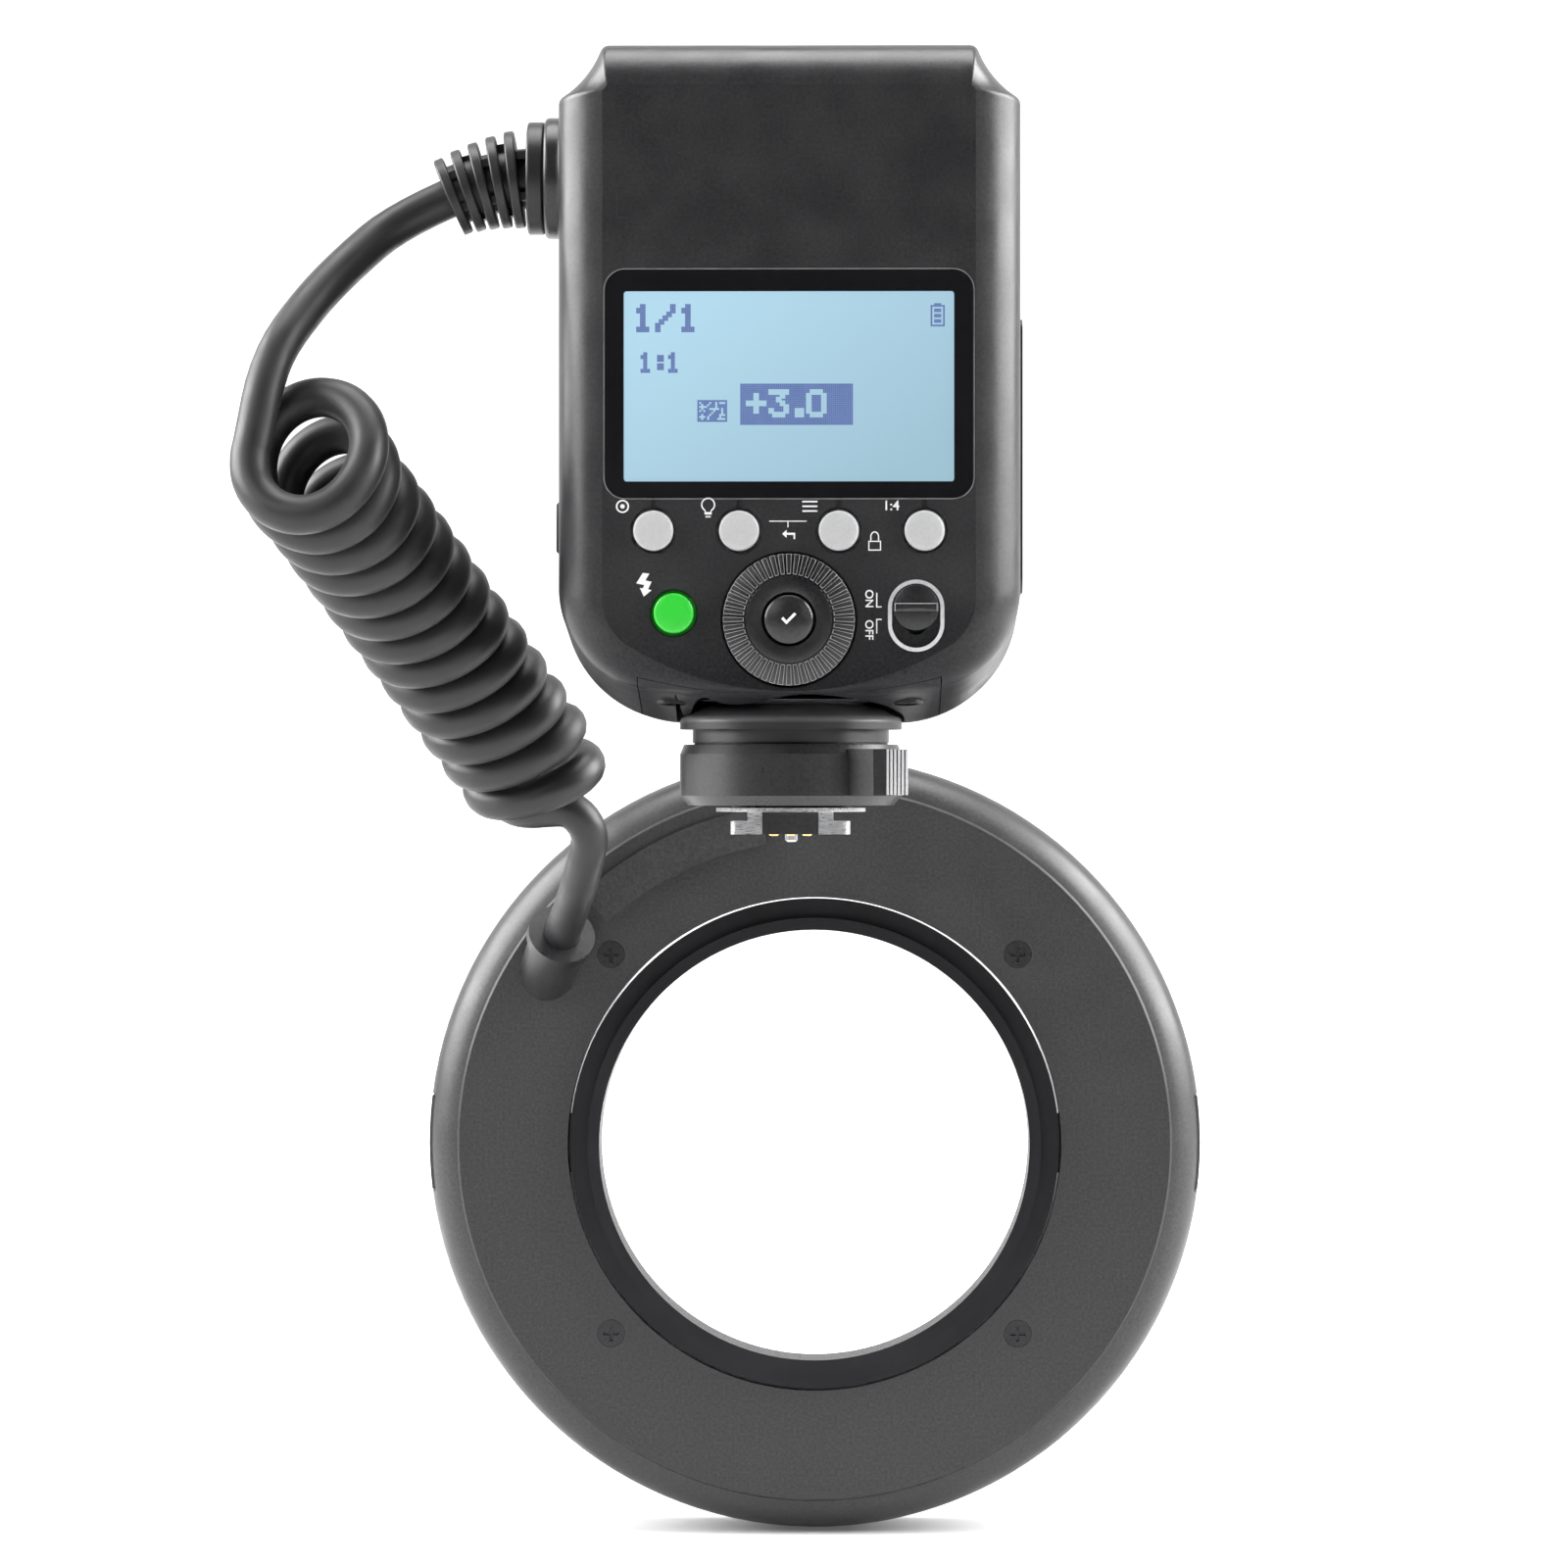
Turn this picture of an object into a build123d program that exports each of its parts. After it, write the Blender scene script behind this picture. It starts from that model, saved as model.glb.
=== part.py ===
from build123d import *
import os
from math import asin, cos, degrees, pi, radians, sin, sqrt, tan

os.makedirs("parts", exist_ok=True)

# Macro ring flash: a shoe-mounted controller, a curly cord and a ring head for the lens.
# Millimetres. Origin at the middle of the shoe foot's lower face, X to the right as seen
# from behind, Y forward to the subject, Z up.

# Clearances
fit_gap = 0.05
running_gap = 0.35
cut_overrun = 1.0
wall_cut_length = 9.0

# Controller body
body_half_width = 35.5
body_floor_z = 17.4
body_crown_z = 121.4
body_rear_y = -28.0
body_front_y = 28.0
body_corner_radius = 18.5
body_floor_bow = 600.0
shell_wall = 2.2
shell_split_y = -4.0
shoulder_width = 6.8
shoulder_drop = 8.4
shoulder_hollow = 0.7
shoulder_round = 1.4
rear_shoulder_share = 0.1
rear_face_inset = 7.0
rear_face_crown_inset = 6.8
rear_face_floor_z = 22.0
rear_face_floor_bow = 47.0
rear_face_corner_radius = 8.5
rear_round_depth = 8.0
rear_round_floor_z = 21.0
rear_round_floor_bow = 200.0
rear_round_corner_radius = 16.0
rear_round_shares = ((0.0, 1.0), (0.11, 0.64), (0.4, 0.24), (1.0, 0.0))
slope_end_y = 0.0
front_face_inset = 4.0
front_round_depth = 5.0
front_round_shares = ((0.0, 0.0), (0.58, 0.2), (0.9, 0.55), (1.0, 0.85))

# Display
bezel_side_border = 7.5
bezel_width = 2 * (body_half_width - bezel_side_border)
bezel_height = 34.6
bezel_corner = 3.0
bezel_border = 2.8
bezel_thickness = 1.3
bezel_proud = 0.2
bezel_centre_z = 68.9
window_drop = 0.4
window_corner = 0.45
panel_lip = 0.9
panel_recess = 0.4

# Push buttons
key_radius = 3.1
key_proud = 0.9
key_edge = 0.35
key_travel = 0.6
key_flange_width = 1.1
key_flange_thickness = 0.9
key_seat_gap = 0.3
key_row_z = 46.5
key_row_inner_share = 0.2141
key_row_outer_share = 0.5831
key_hole_edge = 0.3
key_notch_width = 0.8
key_notch_depth = 0.45
test_key_share = 0.4958
test_key_z = 33.9
switch_can_height = 1.05
switch_can_radius = 2.6

# Dial with its set button
dial_radius = 10.1
dial_centre_z = 32.9
dial_proud = 1.9
dial_pocket_depth = 1.2
dial_bevel_width = 3.3
dial_bevel_height = 0.8
dial_rib_count = 48
dial_rib_depth = 0.45
dial_hub_radius = 6.4
dial_lip_width = 1.1
dial_lip_thickness = 0.7
encoder_radius = 7.6
set_button_radius = 3.75
set_button_dome = 0.7

# Power switch
switch_centre_share = 0.5465
switch_centre_z = 33.5
switch_rim_width = 8.6
switch_rim_height = 11.0
switch_rim_border = 0.6
switch_rim_thickness = 0.9
switch_rim_proud = 0.25
switch_knob_radius = 3.25
switch_knob_proud = 1.0
switch_ridge_thickness = 0.9
switch_neck_radius = 1.3
switch_plate_width = 6.0
switch_plate_thickness = 0.8
switch_travel = 2.5
switch_can_width = 9.0

# Boards and inner parts
board_side_gap = 5.5
board_height = 64.0
board_centre_z = 58.0
board_thickness = 1.6
board_edge_gap = 0.8
battery_far_room = 17.5
battery_thickness = 27.0
battery_height = 41.0
battery_corner = 2.0
battery_centre_z = 58.6
battery_cap_seat = 2.5
battery_cap_proud = 0.5
battery_cap_depth = 28.6
battery_cap_height = 42.4
battery_cap_corner = 2.5
battery_groove_width = 1.4
battery_groove_depth = 0.7
battery_groove_count = 4
battery_groove_pitch = 3.2
battery_groove_height = 22.0
bay_wall = 1.2
contact_width = 2.4
contact_height = 6.0
contact_depth = 0.45
contact_spacing = 7.0
capacitor_radius = 12.0
capacitor_length = 46.0
capacitor_centre_y = 6.0
capacitor_edge = 1.0
power_board_depth = 34.0
power_board_height = 40.0
usb_width = 9.0
usb_height = 3.3
usb_wall = 0.35
usb_centre_y = 1.0
usb_centre_z = 45.8
usb_tongue_thickness = 0.7
lamp_window_width = 26.0
lamp_window_height = 13.0
lamp_window_corner = 3.0
lamp_window_centre_z = 72.0
lamp_window_proud = 0.3

# Side pieces
port_cover_low_z = 38.0
port_cover_height = 15.2
port_cover_depth = 17.0
port_cover_thickness = 1.2
port_cover_proud = 0.5
port_cover_corner = 1.2
port_hinge_radius = 0.75
port_tab_width = 8.5
port_tab_height = 8.0
port_tab_low_z = 43.9
port_tab_reach = 0.7
side_panel_height = 24.0
side_panel_depth = 24.0
side_panel_gap = 1.0
side_panel_thickness = 0.8
side_panel_proud = 0.25
socket_centre_y = -2.0
socket_centre_z = 102.7
socket_radius = 9.45
socket_thickness = 2.9
socket_round = 0.75
socket_flare = 0.9
socket_neck_radius = 6.8
socket_neck_length = 5.0
gland_flange_radius = 8.8
gland_flange_thickness = 2.7
gland_flange_round = 0.45
gland_start_droop = 4.0
gland_end_droop = 24.0
gland_bend_radius = 37.0
gland_core_radius = 4.7
gland_root_radius = 7.9
gland_tip_radius = 6.2
gland_rib_count = 5
gland_rib_thickness = 1.6
gland_first_gap = 1.3
gland_rib_round = 0.35
gland_bridge_width = 3.4
gland_bridge_share = 0.78
gland_bar_height = 1.2
gland_bar_share = 0.42

# Shoe foot and its lock
flange_radius = 17.4
flange_low_z = 16.4
flange_rim_z = 17.5
flange_top_z = 21.1
flange_room_gap = 0.4
flange_dome_shares = ((1.0, 0.0), (0.95, 0.32), (0.844, 0.56), (0.653, 0.78), (0.0, 1.0))
neck_radius = 15.4
neck_low_z = 14.3
stem_radius = 9.2
lock_radius = 17.4
lock_low_radius = 16.1
lock_top_radius = 16.8
lock_low_z = 4.5
lock_belly_low_z = 6.0
lock_belly_top_z = 12.5
lock_top_z = 14.0
lug_low_z = 6.06
lug_top_z = 13.25
lug_root_x = 9.0
lug_step_x = 12.9
lug_grip_x = 14.8
lug_rear_y = -18.4
lug_front_y = -7.0
grip_reach_x = 18.3
grip_rib_count = 6
grip_rib_depth = 0.35
grip_rib_share = 0.45
foot_width = 18.6
foot_depth = 18.0
foot_plate_thickness = 2.0
foot_corner = 1.2
foot_neck_width = 13.3
foot_base_radius = 11.7
foot_base_low_z = 3.5
contact_block_width = 8.8
contact_pin_radius = 0.75
contact_pin_proud = 0.25
contact_pin_spread_x = 2.6
contact_pin_rear_y = -5.5
lock_pin_radius = 1.0
lock_pin_gap = 0.08
lock_pin_edge = 0.3
lock_pin_y = 6.4
lock_pin_reach = 1.3
lock_pin_top_z = 11.0

# Screws
screw_post_radius = 2.9
screw_head_radius = 2.3
screw_head_thickness = 1.3
screw_shank_radius = 1.2
screw_shank_length = 9.0
screw_cross_length = 2.6
screw_cross_width = 0.6
screw_cross_depth = 0.6
shell_screw_inset = 8.5
shell_screw_low_z = 30.5
shell_screw_top_z = 110.0
bottom_screw_share = 0.5183
bottom_screw_y = 13.0
cover_share = 0.6535
cover_rear_gap = 2.6
cover_front_gap = 5.0
cover_seam = 0.15

# Curly cord
cord_radius = 3.1
coil_radius = 8.9
coil_pitch = 7.36
coil_turns = 13
coil_bend_radius = 220.0
coil_start = (-74.2, -26.0, 57.8)
coil_start_lean = 28.0
coil_lean_across = (0.552, 0.0, -0.834)
coil_start_angle = 132.0
coil_sag_share = 0.033
coil_pull_shares = ((0.75, 0.5), (0.9, 0.4), (12.6, 0.5), (13.0, 0.5), (13.5, 0.7))
coil_pulls = (
    (0.4, 0.9, 3.7),
    (-2.2, 0.0, 0.4),
    (-0.3, 0.0, -2.0),
    (0.5, 4.0, 4.0),
    (-1.5, 12.0, 1.0),
)
coil_end_share = 0.25
coil_tangent_share = 0.0001
gap_steps = 48
cord_bend_share = 0.45
cord_end_run = 9.0
cord_coil_run = 13.6
cord_turn_run = 5.2
cord_top_points = (
    (-68.7, -7.0, 89.3),
    (-74.6, -12.5, 82.4),
)
cord_bottom_points = (
    (-33.4, 51.9, -0.2),
    (-34.6, 56.0, -4.6),
    (-36.1, 62.5, -9.6),
)

# Ring head
ring_centre_x = 3.1
ring_centre_z = -53.4
ring_rear_y = 84.0
ring_front_y = 112.0
ring_split_y = 98.0
ring_radius = 66.0
ring_step_inset = 5.5
ring_step_width = 0.4
ring_step_height = 0.8
ring_round_y = 92.0
ring_round_bulge = 1.45
ring_front_round = 4.0
ring_band_width = 24.0
ring_wall = 2.0
ring_wall_shift = 0.5
ring_wall_depth = 1.5
cable_cover_in_inset = 14.4
cable_cover_out_inset = 8.0
cable_cover_height = 1.2
cable_cover_start = 99.0
cable_cover_end = 133.0
ring_screw_offset = 5.3
ring_screw_angle = 43.0
ring_post_radius = 2.5
boss_inset = 10.29
boss_angle = 139.88
boss_mouth_y = 76.0
boss_direction = (-0.23, 0.80, -0.555)
boss_radius = 5.0
boss_lip_radius = 5.7
boss_lip_length = 2.0
boss_length = 20.0
boss_bore_depth = 3.0
diffuser_in_offset = 3.5
diffuser_out_inset = 5.8
diffuser_half_angle = 73.0
diffuser_thickness = 2.8
diffuser_proud = 0.5
diffuser_edge = 0.45
reflector_half_angle = 70.0
reflector_wall = 1.0
reflector_margin = 0.5
tube_radius = 2.0
tube_half_angle = 66.0
tube_socket_radius = 2.8
tube_socket_height = 2.6
ring_board_margin = 1.0
led_radius = 3.4
led_depth = 8.0
led_proud = 0.35
led_flange = 1.0

# Lens adapter ring and its latches
adapter_band = 5.5
thread_band = 3.5
thread_length = 4.0
adapter_rear_gap = 0.6
adapter_thickness = 8.4
groove_depth = 1.25
latch_travel = 2.0
latch_in_inset = 14.3
latch_out_inset = 12.0
latch_thickness = 1.4
latch_stack_gap = 0.5
latch_floor_gap = 1.0
tongue_half_width = 5.0
tongue_bite = 0.85
tongue_rear_y = 87.6
tongue_front_y = 89.7
arm_half_width = 4.0
arm_out_inset = 5.8
arm_riser_width = 1.8
arm_head_rear_y = 90.4
arm_head_front_y = 93.4
head_in_inset = 4.5
head_half_width = 8.0
head_rear_y = 89.2
head_front_y = 95.4
head_sink = 0.15

# Places that follow from the sizes
key_row_inner_x = body_half_width * key_row_inner_share
key_row_outer_x = body_half_width * key_row_outer_share
test_key_x = -body_half_width * test_key_share
switch_centre_x = body_half_width * switch_centre_share
bottom_screw_x = body_half_width * bottom_screw_share
cover_half_width = body_half_width * cover_share
board_width = 2 * (body_half_width - board_side_gap)
battery_outer_x = body_half_width - battery_cap_seat
battery_cap_x = body_half_width + battery_cap_proud
battery_length = battery_outer_x + body_half_width - battery_far_room
shell_screw_x = body_half_width - shell_screw_inset
ring_bore_radius = ring_radius - ring_band_width
ring_step_radius = ring_radius - ring_step_inset
cable_cover_in_radius = ring_radius - cable_cover_in_inset
cable_cover_out_radius = ring_radius - cable_cover_out_inset
ring_screw_circle = ring_bore_radius + ring_screw_offset
diffuser_in_radius = ring_bore_radius + diffuser_in_offset
diffuser_out_radius = ring_radius - diffuser_out_inset
adapter_bore_radius = ring_bore_radius - adapter_band
thread_radius = ring_bore_radius - thread_band
latch_in_radius = ring_radius - latch_in_inset
latch_out_radius = ring_radius - latch_out_inset
arm_out_radius = ring_radius - arm_out_inset
head_in_radius = ring_radius - head_in_inset
shell_inner_y = body_rear_y + shell_wall
key_flange_y = shell_inner_y + key_seat_gap
can_rear_y = key_flange_y + key_flange_thickness + key_travel + running_gap
board_rear_y = can_rear_y + switch_can_height
window_width = bezel_width - 2 * bezel_border
window_height = bezel_height - 2 * bezel_border
window_centre_z = bezel_centre_z - window_drop
battery_inner_x = battery_outer_x - battery_length
bay_inner_x = battery_inner_x - running_gap - contact_depth
bay_depth = battery_thickness + 2 * running_gap
bay_height = battery_height + 2 * running_gap
bay_top_z = battery_centre_z + bay_height / 2 + bay_wall
capacitor_centre_z = bay_top_z + running_gap + capacitor_radius
side_x = -body_half_width
port_cover_top_z = port_cover_low_z + port_cover_height
port_cover_centre_y = usb_centre_y
side_panel_low_z = port_cover_top_z + side_panel_gap
gland_root_x = side_x - fit_gap - socket_thickness - gland_flange_thickness
knob_rest_z = switch_centre_z + switch_travel / 2
slot_inner_width = switch_rim_width - 2 * switch_rim_border
slot_inner_height = switch_rim_height - 2 * switch_rim_border
coil_last = coil_turns + coil_end_share


def behind_plane(y):
    """Work plane at y whose own axes are X and Z."""
    return Plane(origin=(0, y, 0), x_dir=(1, 0, 0), z_dir=(0, -1, 0))


def prism(sketch, rear_y, front_y):
    """A sketch drawn as seen from behind, made solid from rear_y to front_y."""
    return extrude(behind_plane(front_y) * sketch, amount=front_y - rear_y)


def disc(x, z, radius, rear_y, front_y):
    """A cylinder along Y."""
    return prism(Pos(x, z) * Circle(radius), rear_y, front_y)


def block(x_from, x_to, y_from, y_to, z_from, z_to):
    """A box between six faces."""
    middle = ((x_from + x_to) / 2, (y_from + y_to) / 2, (z_from + z_to) / 2)
    return Pos(*middle) * Box(x_to - x_from, y_to - y_from, z_to - z_from)


def slot(width, height):
    """An upright slot with round ends."""
    return Rot(0, 0, 90) * SlotOverall(height, width)


def upright_turned(points):
    """Points of radius and z turned about the Z axis."""
    return revolve(behind_plane(0) * make_face(Polyline(*points, close=True)), axis=Axis.Z)


def forward_turned(outline, x, z):
    """An outline of radius and y turned about an axis along Y."""
    plane = Plane(origin=(x, 0, z), x_dir=(1, 0, 0), z_dir=(0, 0, 1))
    return revolve(plane * make_face(outline), axis=Axis((x, 0, z), (0, 1, 0)))


def ring_turned(outline):
    """An outline of radius and y turned about the ring head's axis."""
    return forward_turned(outline, ring_centre_x, ring_centre_z)


def ring_sector(in_radius, out_radius, start, end):
    """A piece of a flat ring round the ring head's axis, as seen from behind."""
    outer = CenterArc((0, 0), out_radius, start, end - start)
    inner = CenterArc((0, 0), in_radius, start, end - start)
    sides = [Line(outer @ 0, inner @ 0), Line(outer @ 1, inner @ 1)]
    return Pos(ring_centre_x, ring_centre_z) * make_face([outer, inner] + sides)


def ring_spot(radius, angle):
    """Where a radius and an angle, seen from behind, lie on the ring head."""
    x = ring_centre_x + radius * cos(radians(angle))
    z = ring_centre_z + radius * sin(radians(angle))
    return x, z


def screw():
    """A cross-head screw with its head's top at the origin and its shank down."""
    head = Pos(0, 0, -screw_head_thickness / 2) * Cylinder(screw_head_radius, screw_head_thickness)
    shank_z = -screw_head_thickness - screw_shank_length / 2
    shank = Pos(0, 0, shank_z) * Cylinder(screw_shank_radius, screw_shank_length)
    cross = Box(screw_cross_length, screw_cross_width, 2 * screw_cross_depth)
    cross += Box(screw_cross_width, screw_cross_length, 2 * screw_cross_depth)
    return head + shank - cross


def screw_hole():
    """The room that a screw takes, with its access."""
    head_radius = screw_head_radius + fit_gap
    shank_radius = screw_shank_radius + fit_gap
    head = Cylinder(head_radius, 2 * screw_head_thickness)
    depth = screw_head_thickness + screw_shank_length + fit_gap
    shank = Pos(0, 0, -depth / 2) * Cylinder(shank_radius, depth)
    return head + shank


def body_section(side, floor, bow, corner, crown, shoulder_share):
    """The controller's outline as seen from behind."""
    across = shoulder_width * shoulder_share
    drop = shoulder_drop * shoulder_share
    hollow = shoulder_hollow * shoulder_share
    reach = sqrt((bow - corner) ** 2 - (side - corner) ** 2)
    heel_x = bow * (side - corner) / (bow - corner)
    heel_z = floor + bow - bow * reach / (bow - corner)
    side_low_z = floor + bow - reach
    side_top_z = crown - drop
    top_x = side - across
    hollow_x = (side + top_x) / 2 - hollow
    hollow_z = crown - drop / 2 - hollow
    lines = [
        ThreePointArc((-heel_x, heel_z), (0, floor), (heel_x, heel_z)),
        TangentArc((heel_x, heel_z), (side, side_low_z), tangent=(reach, side - corner)),
        Line((side, side_low_z), (side, side_top_z)),
        ThreePointArc((side, side_top_z), (hollow_x, hollow_z), (top_x, crown)),
        Line((top_x, crown), (-top_x, crown)),
        ThreePointArc((-top_x, crown), (-hollow_x, hollow_z), (-side, side_top_z)),
        Line((-side, side_top_z), (-side, side_low_z)),
        TangentArc((-side, side_low_z), (-heel_x, heel_z), tangent=(0, -1)),
    ]
    face = make_face(lines)
    shoulders = face.vertices().sort_by(Axis.Y)[-4:]
    return fillet(shoulders, radius=shoulder_round * shoulder_share)


def body_form(inset):
    """The controller's solid form, or its hollow when inset by the wall."""
    rear_faces = []
    for depth_share, inset_share in rear_round_shares:
        section = body_section(
            body_half_width - rear_face_inset * inset_share - inset,
            rear_round_floor_z + (rear_face_floor_z - rear_round_floor_z) * inset_share + inset,
            1 / ((1 - inset_share) / rear_round_floor_bow + inset_share / rear_face_floor_bow),
            rear_round_corner_radius
            + (rear_face_corner_radius - rear_round_corner_radius) * inset_share
            - inset * (1 - inset_share),
            body_crown_z - rear_face_crown_inset * inset_share - inset,
            1 - inset_share * (1 - rear_shoulder_share),
        )
        y = body_rear_y + inset + (rear_round_depth - inset) * depth_share
        rear_faces.append(behind_plane(y) * section)
    full = body_section(
        body_half_width - inset,
        body_floor_z + inset,
        body_floor_bow,
        body_corner_radius - inset,
        body_crown_z - inset,
        1,
    )
    front_faces = []
    for depth_share, inset_share in front_round_shares:
        section = body_section(
            body_half_width - front_face_inset * inset_share - inset,
            body_floor_z + front_face_inset * inset_share + inset,
            body_floor_bow,
            body_corner_radius - inset,
            body_crown_z - front_face_inset * inset_share - inset,
            1,
        )
        y = body_front_y - front_round_depth + (front_round_depth - inset) * depth_share
        front_faces.append(behind_plane(y) * section)
    slope = loft([rear_faces[-1], behind_plane(slope_end_y) * full], ruled=True)
    middle = prism(full, slope_end_y, body_front_y - front_round_depth)
    return loft(rear_faces) + slope + middle + loft(front_faces)


def key_places():
    """Every round push button's place as x and z."""
    row = [-key_row_outer_x, -key_row_inner_x, key_row_inner_x, key_row_outer_x]
    return [(x, key_row_z) for x in row] + [(test_key_x, test_key_z)]


def screw_posts():
    """The four posts that hold the two shells together."""
    posts = []
    for x in (-shell_screw_x, shell_screw_x):
        for z in (shell_screw_low_z, shell_screw_top_z):
            posts.append(disc(x, z, screw_post_radius, body_rear_y, body_front_y))
    return posts


def shell_screw_spots():
    """Where the shell screws' heads lie in the front face."""
    spots = []
    for x in (-shell_screw_x, shell_screw_x):
        for z in (shell_screw_low_z, shell_screw_top_z):
            spots.append(Pos(x, body_front_y - fit_gap, z) * Rot(-90, 0, 0))
    return spots


def bottom_screw_spots():
    """Where the bottom cover's screw heads lie."""
    spots = []
    for x in (-bottom_screw_x, bottom_screw_x):
        for y in (-bottom_screw_y, bottom_screw_y):
            rise = max(slope_end_y - y, 0) / (slope_end_y - body_rear_y - rear_round_depth)
            z = body_floor_z + (rear_round_floor_z - body_floor_z) * rise + screw_cross_depth
            spots.append(Pos(x, y, z) * Rot(180, 0, 0))
    return spots


def flange_dome(gap):
    """The flange's domed top as points of radius and z, with a gap over it."""
    radius = flange_radius + gap
    rise = flange_top_z - flange_rim_z
    low_z = flange_rim_z + gap
    return [(radius * share, low_z + rise * rise_share) for share, rise_share in flange_dome_shares]


def flange_form(gap):
    """The shoe foot's domed flange and its neck, with a gap all round."""
    radius = flange_radius + gap
    low_z = flange_low_z - gap
    points = flange_dome(gap)
    outline = [
        Polyline((0, neck_low_z), (neck_radius, neck_low_z), (neck_radius, low_z)),
        Polyline((neck_radius, low_z), (radius, low_z), points[0]),
        Spline(*points, tangents=((0, 1), (-1, 0))),
        Line(points[-1], (0, neck_low_z)),
    ]
    return revolve(behind_plane(0) * make_face(outline), axis=Axis.Z)


def flange_room(gap, rear_gap):
    """The room in the controller's floor that the flange takes, open to the rear."""
    right = flange_dome(rear_gap)
    left = [(-x, z) for x, z in reversed(right[:-1])]
    outline = [
        Spline(*right, *left, tangents=((0, 1), (0, -1))),
        Line(left[-1], (left[-1][0], neck_low_z)),
        Line((left[-1][0], neck_low_z), (right[0][0], neck_low_z)),
        Line((right[0][0], neck_low_z), right[0]),
    ]
    return flange_form(gap) + prism(make_face(outline), body_rear_y - cut_overrun, 0)


def cover_zone(gap):
    """The room of the bottom cover in the controller's floor."""
    return block(
        -cover_half_width - gap,
        cover_half_width + gap,
        body_rear_y + cover_rear_gap - gap,
        body_front_y - cover_front_gap + gap,
        body_floor_z - cut_overrun,
        rear_face_floor_z + shell_wall + gap,
    )


def battery_opening():
    """The room that the battery and its cap take in the controller's right side."""
    cap = Pos(0, battery_centre_z) * RectangleRounded(
        battery_cap_depth + 2 * running_gap,
        battery_cap_height + 2 * running_gap,
        battery_cap_corner + running_gap,
    )
    plane = Plane(origin=(battery_outer_x - running_gap, 0, 0), x_dir=(0, 1, 0), z_dir=(1, 0, 0))
    return extrude(plane * cap, amount=battery_cap_x - battery_outer_x + cut_overrun)


def side_sketch(centre_y, low_z, depth, height, corner):
    """A rounded rectangle as seen from the left side."""
    return Pos(-centre_y, low_z + height / 2) * RectangleRounded(depth, height, corner)


def side_prism(sketch, outer_x, thickness):
    """A side sketch made solid inward from outer_x."""
    plane = Plane(origin=(outer_x, 0, 0), x_dir=(0, -1, 0), z_dir=(-1, 0, 0))
    return extrude(plane * sketch, amount=-thickness)


def shells():
    """The rear and the front shell and the bottom cover of the controller."""
    outer = body_form(0) - flange_room(fit_gap, flange_room_gap)
    hollow = body_form(shell_wall) - flange_room(shell_wall, shell_wall + flange_room_gap)
    skin = outer - hollow
    far = body_half_width + cut_overrun
    rear_zone = block(-far, far, body_rear_y - cut_overrun, shell_split_y, 0, body_crown_z + far)
    front_zone = block(
        -far, far, shell_split_y + fit_gap, body_front_y + cut_overrun, 0, body_crown_z + far
    )
    posts = [post & outer for post in screw_posts()]
    framed = skin + posts
    framed -= battery_opening()
    framed -= [spot * screw_hole() for spot in shell_screw_spots()]
    inner_floor = skin & cover_zone(0)
    inner_floor -= [spot * screw_hole() for spot in bottom_screw_spots()]
    framed -= cover_zone(cover_seam)
    socket_hole = Rot(0, 90, 0) * Cylinder(socket_neck_radius + fit_gap, wall_cut_length)
    framed -= Pos(side_x, socket_centre_y, socket_centre_z) * socket_hole
    framed -= side_prism(
        side_sketch(
            port_cover_centre_y,
            port_cover_low_z - running_gap,
            port_cover_depth + 2 * running_gap,
            port_cover_height + 2 * running_gap,
            port_cover_corner + running_gap,
        ),
        side_x - cut_overrun,
        cut_overrun + port_cover_thickness,
    )
    framed -= Pos(side_x, usb_centre_y, usb_centre_z) * Box(
        wall_cut_length, usb_width + 2 * fit_gap, usb_height + 2 * fit_gap
    )
    framed -= side_prism(
        side_sketch(
            port_cover_centre_y,
            side_panel_low_z - fit_gap,
            side_panel_depth + 2 * fit_gap,
            side_panel_height + 2 * fit_gap,
            port_cover_corner,
        ),
        side_x - cut_overrun,
        cut_overrun + side_panel_thickness,
    )
    rear = (framed & rear_zone) - rear_openings()
    front = framed & front_zone
    front -= prism(
        Pos(0, lamp_window_centre_z)
        * RectangleRounded(
            lamp_window_width + 2 * fit_gap, lamp_window_height + 2 * fit_gap, lamp_window_corner
        ),
        body_front_y - 2 * shell_wall,
        body_front_y + cut_overrun,
    )
    return rear, front, inner_floor


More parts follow.
